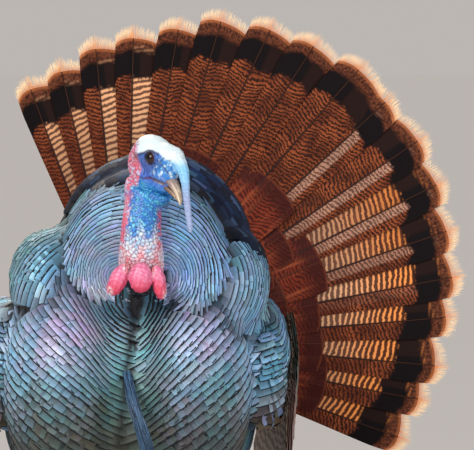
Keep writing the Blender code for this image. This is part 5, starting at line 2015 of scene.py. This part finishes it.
def head_bristles(made):
    """Sparse dark hairs round the ear, on the nape and down the back of the neck."""
    rng = np.random.default_rng(SEED + 62)
    skin, count = bpy.data.objects["skin"], made.bristles
    points, normals = points_of(skin.data), points_of(skin.data, "normal")
    near = np.linalg.norm(points - HEAD, axis=1) < BRISTLE_REACH
    points, normals = points[near], normals[near]
    a, _, c = in_head(points)
    chance = np.exp(-(np.hypot(a + 0.0225, c + 0.0085) / 0.007) ** 2) * 3
    chance += ease(-a, 0.018, 0.026) * ease(points[:, 2], 0.54, 0.57)
    chance += 0.12 * ease(points[:, 2], 0.535, 0.56) * ease(-c, 0.02, 0.03)
    picked = rng.choice(len(points), count, replace=False, p=chance / chance.sum())
    steps = np.linspace(0, 1, 4)[None, :, None]
    lie = unit(normals[picked] * 0.55 - UP * 0.6 - FORWARD * 0.5 + rng.normal(0, 0.2, (count, 3)))
    long = rng.uniform(0.0035, 0.0075, (count, 1, 1))
    lines = points[picked][:, None] - normals[picked][:, None] * 0.0004 + lie[:, None] * long * steps
    lines[:, :, 2] -= 0.0012 * steps[:, :, 0] ** 2
    thick = np.tile((1.0, 0.8, 0.6, 0.25), (count, 1))
    mesh = line_mesh("head_bristles", lines, thick, {"pick": rng.random(count)},
                     rng.random((count, 2)) * MAP_SPAN + MAP_LOW)
    finish = bristle_finish("head_bristle", rgb(22, 16, 20), rgb(96, 70, 66), 0.45)
    grown(mesh, strand_tree(), finish, "bristle", Thickness=0.00013, Sides=3)


# ---------------------------------------------------------------- legs

STRIDES = (("L", 1.0, -0.012), ("R", -1.0, 0.008))
LEG_VOXEL = 0.0011
FOOT_MIDDLE_Y = 0.004
SOLE_DROP = 0.0012
# each toe: length, its turn from straight ahead in degrees on the left foot, size, number of scutes
TOES = (
    (0.0800, 4.0, 1.00, 17), (0.0620, 38.0, 0.94, 13), (0.0583, -33.0, 0.94, 12), (0.0340, 166.0, 0.80, 7))
# a claw's middle line as (out from the toe's end, height, radius)
CLAW = ((-0.004, 0.0074, 0.0037), (0.006, 0.0066, 0.0032), (0.0128, 0.0036, 0.0019))


def toe_turn(side, degrees):
    """The direction of a toe on either foot."""
    turn = math.radians(side * degrees)
    return np.array((math.sin(turn), -math.cos(turn), 0.0))


def leg_finish(made):
    """Rose-grey scaly hide with dark seams between the scales."""
    f = Finish("leg_scale")
    seam = f.cells(620.0, "DISTANCE_TO_EDGE")
    pick = f.noise(300.0, 2.0)
    dust = f.noise(60.0, 3.0)
    tone = f.mix(pick, rgb(150, 92, 88), made.scale)
    tone = f.mix(dust.step(0.4, 0.75) * 0.5, tone, rgb(120, 100, 96))
    tone = f.mix(seam.step(0.10, 0.02) * 0.8, tone, made.seam)
    normal = f.bump(seam.least(0.25) * 3.0 + pick * 0.4, 0.6, 0.0006)
    return f.done(Base_Color=tone, Roughness=0.45 + dust * 0.25, Normal=normal)


def scute_finish():
    f = Finish("leg_scute")
    pick = f.value("pick")
    dust = f.noise(240.0, 3.0)
    tone = f.mix(pick, rgb(176, 112, 104), rgb(206, 150, 138))
    tone = f.mix(dust.step(0.45, 0.8) * 0.6, tone, rgb(132, 104, 98))
    return f.done(Base_Color=tone, Roughness=0.36 + dust * 0.25, Normal=f.bump(dust, 0.3, 0.0004))


def plate_rows(side, stride, ground):
    """Places, facings, lies and sizes of the plates down the shank's front and along the toes."""
    x = FOOT_AXIS_X + side * STANCE + BIRD[0]
    rows = []
    for z in np.arange(0.034, 0.150, 0.0044):
        for half in (-1.0, 1.0):
            y = np.interp(z, (0.018, 0.060, 0.110, 0.138), (0.006, 0.013, 0.022, 0.031)) + stride + BIRD[1]
            aim = np.array((0.42 * half, -1.0, 0.0))
            rows.append((np.array((x, y, z + 0.0011 * half)), aim, (0.0, 0.0, -1.0), 1.0))
    foot = np.array((x, FOOT_MIDDLE_Y + stride + BIRD[1], 0.0))
    for length, degrees, size, count in TOES:
        ahead = toe_turn(side, degrees)
        for k in range(count):
            share = 0.16 + 0.80 * k / (count - 1)
            place = foot + ahead * length * share + np.array((0.0, 0.0, 0.006))
            rows.append((place, np.array((0.0, 0.0, 1.0)), ahead, size * (1.08 - 0.30 * share)))
    found = []
    for place, aim, lie, size in rows:
        hit, normal, _, _ = ground.ray_cast(Vector(place), Vector(aim).normalized())
        if hit is not None:
            found.append((*hit, *normal, *lie, size))
    return np.array(found)


def plate_mesh(name, rows, rng):
    """Bare points that carry what each plate needs."""
    count = len(rows)
    mesh = bpy.data.meshes.new(name)
    mesh.vertices.add(count)
    mesh.vertices.foreach_set("co", (rows[:, :3] - rows[:, 3:6] * 0.0001).astype(np.float32).ravel())
    for key, part in (("facing", rows[:, 3:6]), ("lie", rows[:, 6:9])):
        made = mesh.attributes.new(key, "FLOAT_VECTOR", "POINT")
        made.data.foreach_set("vector", part.astype(np.float32).ravel())
    spots = rng.random((count, 2)) * MAP_SPAN + MAP_LOW
    add_values(mesh, {"size": rows[:, 9], "strand": np.arange(count), "pick": rng.random(count),
                      "spot_u": spots[:, 0], "spot_v": spots[:, 1]})
    mesh.update()
    return mesh


def claw_mesh(name, side, stride):
    """Four claws and the spur of one leg, each a curved horn cone."""
    x = FOOT_AXIS_X + side * STANCE + BIRD[0]
    y = BIRD[1] + stride
    count, steps = 14, 12
    paths = []
    for length, degrees, _, _ in TOES:
        ahead = toe_turn(side, degrees)
        foot = np.array((x, FOOT_MIDDLE_Y + y, 0.0))
        rows = [(*(foot + ahead * (length + out) + (0.0, 0.0, high - SOLE_DROP)), r)
                for out, high, r in CLAW]
        paths.append(through(rows, steps))
    inner = x - side * 0.004
    paths.append(through(((inner, 0.016 + y, 0.066, 0.0056), (inner - side * 0.004, 0.028 + y, 0.067, 0.0044),
                          (inner - side * 0.006, 0.0380 + y, 0.0722, 0.0012)), steps))
    points, along = [], []
    for path in paths:
        radii = path[:, 3] * (1 - 0.55 * ease(np.linspace(0, 1, steps), 0.75, 1.0))
        points.append(loft_points(tube_rows(path[:, :3], radii, count, 0.9)))
        along.append(np.concatenate([np.repeat(np.linspace(0, 1, steps), count), (0.0, 1.0)]))
    rows = np.concatenate(points)
    rows[:, 2] = np.maximum(rows[:, 2], 0.0003)
    quads, threes = loft_faces(steps, count)
    size = steps * count + 2
    mesh = make_mesh(name, rows, tiled(quads, size, len(paths)), tiled(threes, size, len(paths)),
                     values={"along": np.concatenate(along), "over": 0.0 * np.concatenate(along)})
    return turned_out(mesh)


def legs(made):
    """Both legs: scaly hide, plates down the shank and along the toes, claws and spurs."""
    scales, plates = leg_finish(made), scute_finish()
    horn = horn_finish("claw_horn", rgb(92, 70, 64), rgb(40, 30, 30), rgb(60, 44, 42))
    tree = scute_tree()
    for tag, side, stride in STRIDES:
        rng = np.random.default_rng(SEED + 70 + int(side))
        meshes = [welded_copy(node + tag, node + tag + "_flesh", LEG_SWELL) for node in ("shank_", "foot_")]
        leg = melted("leg_skin_" + tag, meshes, LEG_VOXEL, smooth=2)
        rows = points_of(leg.data)
        rows[:, 2] = np.maximum(rows[:, 2], 0.0002)
        put_points(leg.data, rows)
        leg.data.polygons.foreach_set("use_smooth", np.ones(len(leg.data.polygons), bool))
        finish_piece(leg, scales, "leg_scale", "shank_" + tag, "foot_" + tag)
        mesh = plate_mesh("leg_scutes_" + tag, plate_rows(side, stride, face_tree(leg.data)), rng)
        grown(mesh, tree, plates, "leg_scale", Width=made.plate_width, Length=made.plate_length,
              Height=made.plate_height)
        finish_piece(add_piece(claw_mesh("claws_" + tag, side, stride)), horn, "horn")


# ---------------------------------------------------------------- stage

FLOOR_SIZE = 60.0
CAMERA_AIM = (0.0248, -0.233, 0.5658)
CAMERA_AWAY = 7.0
CAMERA_RISE = math.radians(2.0)
VIEW_WIDTH = 0.50718
SENSOR = 36.0
LIGHT_AIM = (-0.05, -0.05, 0.45)
BACKDROP = (0.62, 0.585, 0.56)


def stage_floor(made):
    """A plain pale floor, a little self-lit so that it meets the backdrop without a line."""
    bm = bmesh.new()
    bmesh.ops.create_grid(bm, x_segments=2, y_segments=2, size=FLOOR_SIZE)
    mesh = bpy.data.meshes.new("floor")
    bm.to_mesh(mesh)
    bm.free()
    floor = add_piece(mesh)
    f = Finish("floor_paint")
    f.done(Emission_Color=made.backdrop, Emission_Strength=0.52)
    mesh.materials.append(f.done(Base_Color=made.backdrop, Roughness=0.9))


def soft_light(name, place, aim, size, power, colour):
    light = bpy.data.lights.new(name, "AREA")
    light.shape = "DISK"
    light.size = size
    light.energy = power
    light.color = colour
    lamp = bpy.data.objects.new(name, light)
    lamp.location = place
    lamp.rotation_euler = (Vector(aim) - Vector(place)).to_track_quat("-Z", "Y").to_euler()
    bpy.context.scene.collection.objects.link(lamp)


def stage_camera():
    data = bpy.data.cameras.new("camera")
    data.sensor_width = SENSOR
    data.lens = SENSOR * CAMERA_AWAY / VIEW_WIDTH
    data.clip_end = 200.0
    camera = bpy.data.objects.new("camera", data)
    aim = Vector(CAMERA_AIM)
    camera.location = aim + CAMERA_AWAY * Vector((0.0, -math.cos(CAMERA_RISE), math.sin(CAMERA_RISE)))
    camera.rotation_euler = (aim - camera.location).to_track_quat("-Z", "Y").to_euler()
    bpy.context.scene.collection.objects.link(camera)
    bpy.context.scene.camera = camera


def stage_lights(made):
    aim = LIGHT_AIM
    soft_light("key", (-1.3, -2.0, 2.0), aim, 1.4, made.key, (1.0, 0.97, 0.93))
    soft_light("fill", (1.8, -1.8, 1.0), aim, 1.8, made.fill, (0.90, 0.95, 1.0))
    soft_light("back", (-0.6, 2.2, 2.2), aim, 1.4, made.back, (1.0, 0.92, 0.82))
    world = bpy.data.worlds.new("studio")
    bpy.context.scene.world = world
    world.use_nodes = True
    sky = Nodes(world.node_tree)
    seen = sky.node("ShaderNodeLightPath")
    shown = world.node_tree.nodes["Background"]
    shown.inputs["Color"].default_value = (*made.backdrop, 1.0)
    plug(world.node_tree, shown.inputs["Strength"], made.ambient + seen * (0.8 - made.ambient))


# ---------------------------------------------------------------- what a user may change


def colour(name, description, default):
    return FloatVectorProperty(name=name, description=description, default=default, subtype="COLOR", size=3,
                               min=0.0, max=1.0)


def factor(name, description, default=1.0, low=0.0, high=1.5):
    return FloatProperty(name=name, description=description, default=default, min=low, max=high,
                         subtype="FACTOR")


def length(name, description, default, low, high):
    return FloatProperty(name=name, description=description, default=default, min=low, max=high,
                         subtype="DISTANCE", unit="LENGTH")


def power(name, description, default):
    return FloatProperty(name=name, description=description, default=default, min=0.0, unit="POWER")


def number(name, description, default, low, high):
    return IntProperty(name=name, description=description, default=default, min=low, max=high)


class TurkeyHeadSettings(bpy.types.PropertyGroup):
    """The bare head and neck."""
    crown: colour("Crown", "Cap of the head", CROWN_WHITE)
    face: colour("Face", "Cheeks and lores", ULTRAMARINE)
    throat: colour("Throat", "Throat and upper neck", AZURE)
    neck: colour("Neck", "Bumps low on the neck and on the nape", BLUSH)
    wattle: colour("Wattles", "Lower part of the wattles", SCARLET)
    iris: colour("Iris", "Outer part of the iris", rgb(48, 24, 18))
    horn: colour("Bill tip", "Horn of the bill at its tip", rgb(232, 214, 184))
    fold_depth: factor("Fold depth", "Depth of folds and bumps against the usual")
    bristles: number("Bristles", "Number of dark hairs on head and nape", 240, 1, 2000)


class TurkeyCoatSettings(bpy.types.PropertyGroup):
    """The small feathers of the body."""
    feather_length: factor("Feather length", "Length against the usual", 1.0, 0.5)
    feather_width: factor("Feather width", "Width against the usual", 1.0, 0.5)
    rim: factor("Dark rim", "Strength of the black rim at each tip")
    gloss: factor("Roughness", "Roughness of the satin vanes", 0.44, 0.0, 1.0)
    sheen: factor("Metal sheen", "How metallic the vanes look", 0.30, 0.0, 1.0)


class TurkeyTailSettings(bpy.types.PropertyGroup):
    """The fan and its coverts."""
    band: colour("Band", "Broad dark band near the tips", rgb(15, 7, 9))
    rust: colour("Rust", "Brighter bars of the outer vanes", rgb(142, 72, 40))
    # the bars' brightness is painted light shining through the inner vanes from behind
    bars: colour("Bars", "Pale bars of the inner vanes", rgb(234, 142, 72))
    fringe: colour("Fringe", "Tips of the loose barbs", rgb(240, 208, 162))
    fringe_length: length("Fringe length", "Length of the loose barbs", 0.0150, 0.002, 0.018)
    fringe_barbs: number("Fringe barbs", "Loose barbs on each feather", 200, 8, 300)
    fringe_glow: factor("Fringe glow", "Light that shines through the fringe", 0.35, 0.0, 1.0)


class TurkeyWingSettings(bpy.types.PropertyGroup):
    """The drooped wings."""
    dark: colour("Dark bars", "Dark bars of the outer quills", rgb(50, 42, 40))
    pale: colour("Pale bars", "Pale bars of the outer quills", rgb(166, 158, 148))
    bar_gap: length("Bar spacing", "Distance from one pale bar to the next", 0.0145, 0.004, 0.05)


class TurkeyBeardSettings(bpy.types.PropertyGroup):
    """The beard on the breast."""
    bristles: number("Bristles", "Number of bristles", 300, 20, 600)
    thickness: length("Thickness", "Radius of a bristle at its root", 0.00052, 0.0001, 0.0008)
    dark: colour("Dark", "Shaded side of the bristles", rgb(22, 36, 58))
    pale: colour("Pale", "Sheen of the bristles", rgb(86, 128, 168))


class TurkeyLegSettings(bpy.types.PropertyGroup):
    """Shanks and feet."""
    scale: colour("Scale", "Brighter scales of the hide", rgb(186, 128, 120))
    seam: colour("Seam", "Seams between the scales", rgb(70, 40, 40))
    plate_width: length("Plate width", "Width of a plate across the leg", 0.0066, 0.002, 0.009)
    plate_length: length("Plate length", "Length of a plate along the leg", 0.0048, 0.002, 0.009)
    plate_height: length("Plate height", "How far a plate is domed", 0.0014, 0.0002, 0.003)


class TurkeyStageSettings(bpy.types.PropertyGroup):
    """Floor, backdrop and studio light."""
    backdrop: colour("Backdrop", "Floor and backdrop", BACKDROP)
    key: power("Key light", "Power of the main soft light", 66.0)
    fill: power("Fill light", "Power of the fill light", 26.0)
    back: power("Back light", "Power of the light behind the fan", 30.0)
    ambient: factor("Ambient", "Strength of the even light all round", 0.42, 0.0, 1.0)


# ---------------------------------------------------------------- operators


class TURKEY_OT_skin(bpy.types.Operator):
    """Makes one closed skin over body, neck and head"""
    bl_idname = "turkey.skin"
    bl_label = "Skin"

    def execute(self, context):
        make_skin(context.scene.turkey_head)
        return {"FINISHED"}


class TURKEY_OT_eyes(bpy.types.Operator):
    """Makes both eyeballs"""
    bl_idname = "turkey.eyes"
    bl_label = "Eyes"

    def execute(self, context):
        eyes(context.scene.turkey_head)
        return {"FINISHED"}


class TURKEY_OT_bill(bpy.types.Operator):
    """Makes both halves of the bill"""
    bl_idname = "turkey.bill"
    bl_label = "Bill"

    def execute(self, context):
        bill(context.scene.turkey_head)
        return {"FINISHED"}


class TURKEY_OT_head_bristles(bpy.types.Operator):
    """Grows sparse dark hairs on the finished skin of the head"""
    bl_idname = "turkey.head_bristles"
    bl_label = "Head bristles"

    def execute(self, context):
        head_bristles(context.scene.turkey_head)
        return {"FINISHED"}


class TURKEY_OT_coat(bpy.types.Operator):
    """Lays the small feathers over the body"""
    bl_idname = "turkey.coat"
    bl_label = "Coat"

    def execute(self, context):
        coat(context.scene.turkey_coat)
        return {"FINISHED"}


class TURKEY_OT_tail(bpy.types.Operator):
    """Makes the fan of tail feathers with its loose fringe"""
    bl_idname = "turkey.tail"
    bl_label = "Tail fan"

    def execute(self, context):
        tail_feathers(context.scene.turkey_tail)
        return {"FINISHED"}


class TURKEY_OT_tail_coverts(bpy.types.Operator):
    """Makes the shorter feathers over and under the fan's base"""
    bl_idname = "turkey.tail_coverts"
    bl_label = "Tail coverts"

    def execute(self, context):
        tail_coverts()
        return {"FINISHED"}


class TURKEY_OT_wings(bpy.types.Operator):
    """Makes the quills and coverts of both drooped wings"""
    bl_idname = "turkey.wings"
    bl_label = "Wings"

    def execute(self, context):
        wing_feathers(context.scene.turkey_wings)
        return {"FINISHED"}


class TURKEY_OT_beard(bpy.types.Operator):
    """Grows the beard's long bristles"""
    bl_idname = "turkey.beard"
    bl_label = "Beard"

    def execute(self, context):
        beard(context.scene.turkey_beard)
        return {"FINISHED"}


class TURKEY_OT_legs(bpy.types.Operator):
    """Makes both legs with their plates, claws and spurs"""
    bl_idname = "turkey.legs"
    bl_label = "Legs"

    def execute(self, context):
        legs(context.scene.turkey_legs)
        return {"FINISHED"}


class TURKEY_OT_stage(bpy.types.Operator):
    """Sets the floor, the camera and the soft studio light"""
    bl_idname = "turkey.stage"
    bl_label = "Stage"

    def execute(self, context):
        stage_floor(context.scene.turkey_stage)
        stage_camera()
        stage_lights(context.scene.turkey_stage)
        context.scene.view_settings.view_transform = "Standard"
        return {"FINISHED"}


# each step in order, with the group of settings shown under it
STEPS = (
    (TURKEY_OT_skin, "head"), (TURKEY_OT_eyes, None), (TURKEY_OT_bill, None),
    (TURKEY_OT_head_bristles, None), (TURKEY_OT_coat, "coat"), (TURKEY_OT_tail, "tail"),
    (TURKEY_OT_tail_coverts, None), (TURKEY_OT_wings, "wings"), (TURKEY_OT_beard, "beard"),
    (TURKEY_OT_legs, "legs"), (TURKEY_OT_stage, "stage"))
SETTINGS = {
    "head": TurkeyHeadSettings, "coat": TurkeyCoatSettings, "tail": TurkeyTailSettings,
    "wings": TurkeyWingSettings, "beard": TurkeyBeardSettings, "legs": TurkeyLegSettings,
    "stage": TurkeyStageSettings}


class TURKEY_PT_parts(bpy.types.Panel):
    """Lists the bird's pieces and their settings"""
    bl_idname = "TURKEY_PT_parts"
    bl_label = "Wild turkey"
    bl_space_type = "VIEW_3D"
    bl_region_type = "UI"
    bl_category = "Turkey"

    def draw(self, context):
        for step, group in STEPS:
            box = self.layout.box()
            box.operator(step.bl_idname)
            for key in SETTINGS[group].__annotations__ if group else ():
                box.prop(getattr(context.scene, "turkey_" + group), key)


def register():
    for key, kind in SETTINGS.items():
        bpy.utils.register_class(kind)
        setattr(bpy.types.Scene, "turkey_" + key, PointerProperty(type=kind))
    for step, _ in STEPS:
        bpy.utils.register_class(step)
    bpy.utils.register_class(TURKEY_PT_parts)


def unregister():
    bpy.utils.unregister_class(TURKEY_PT_parts)
    for step, _ in reversed(STEPS):
        bpy.utils.unregister_class(step)
    for key, kind in reversed(SETTINGS.items()):
        delattr(bpy.types.Scene, "turkey_" + key)
        bpy.utils.unregister_class(kind)


def main():
    register()
    bpy.ops.turkey.skin()
    bpy.ops.turkey.eyes()
    bpy.ops.turkey.bill()
    bpy.ops.turkey.head_bristles()
    bpy.ops.turkey.coat()
    bpy.ops.turkey.tail()
    bpy.ops.turkey.tail_coverts()
    bpy.ops.turkey.wings()
    bpy.ops.turkey.beard()
    bpy.ops.turkey.legs()
    bpy.ops.turkey.stage()


if __name__ == "__main__":
    main()
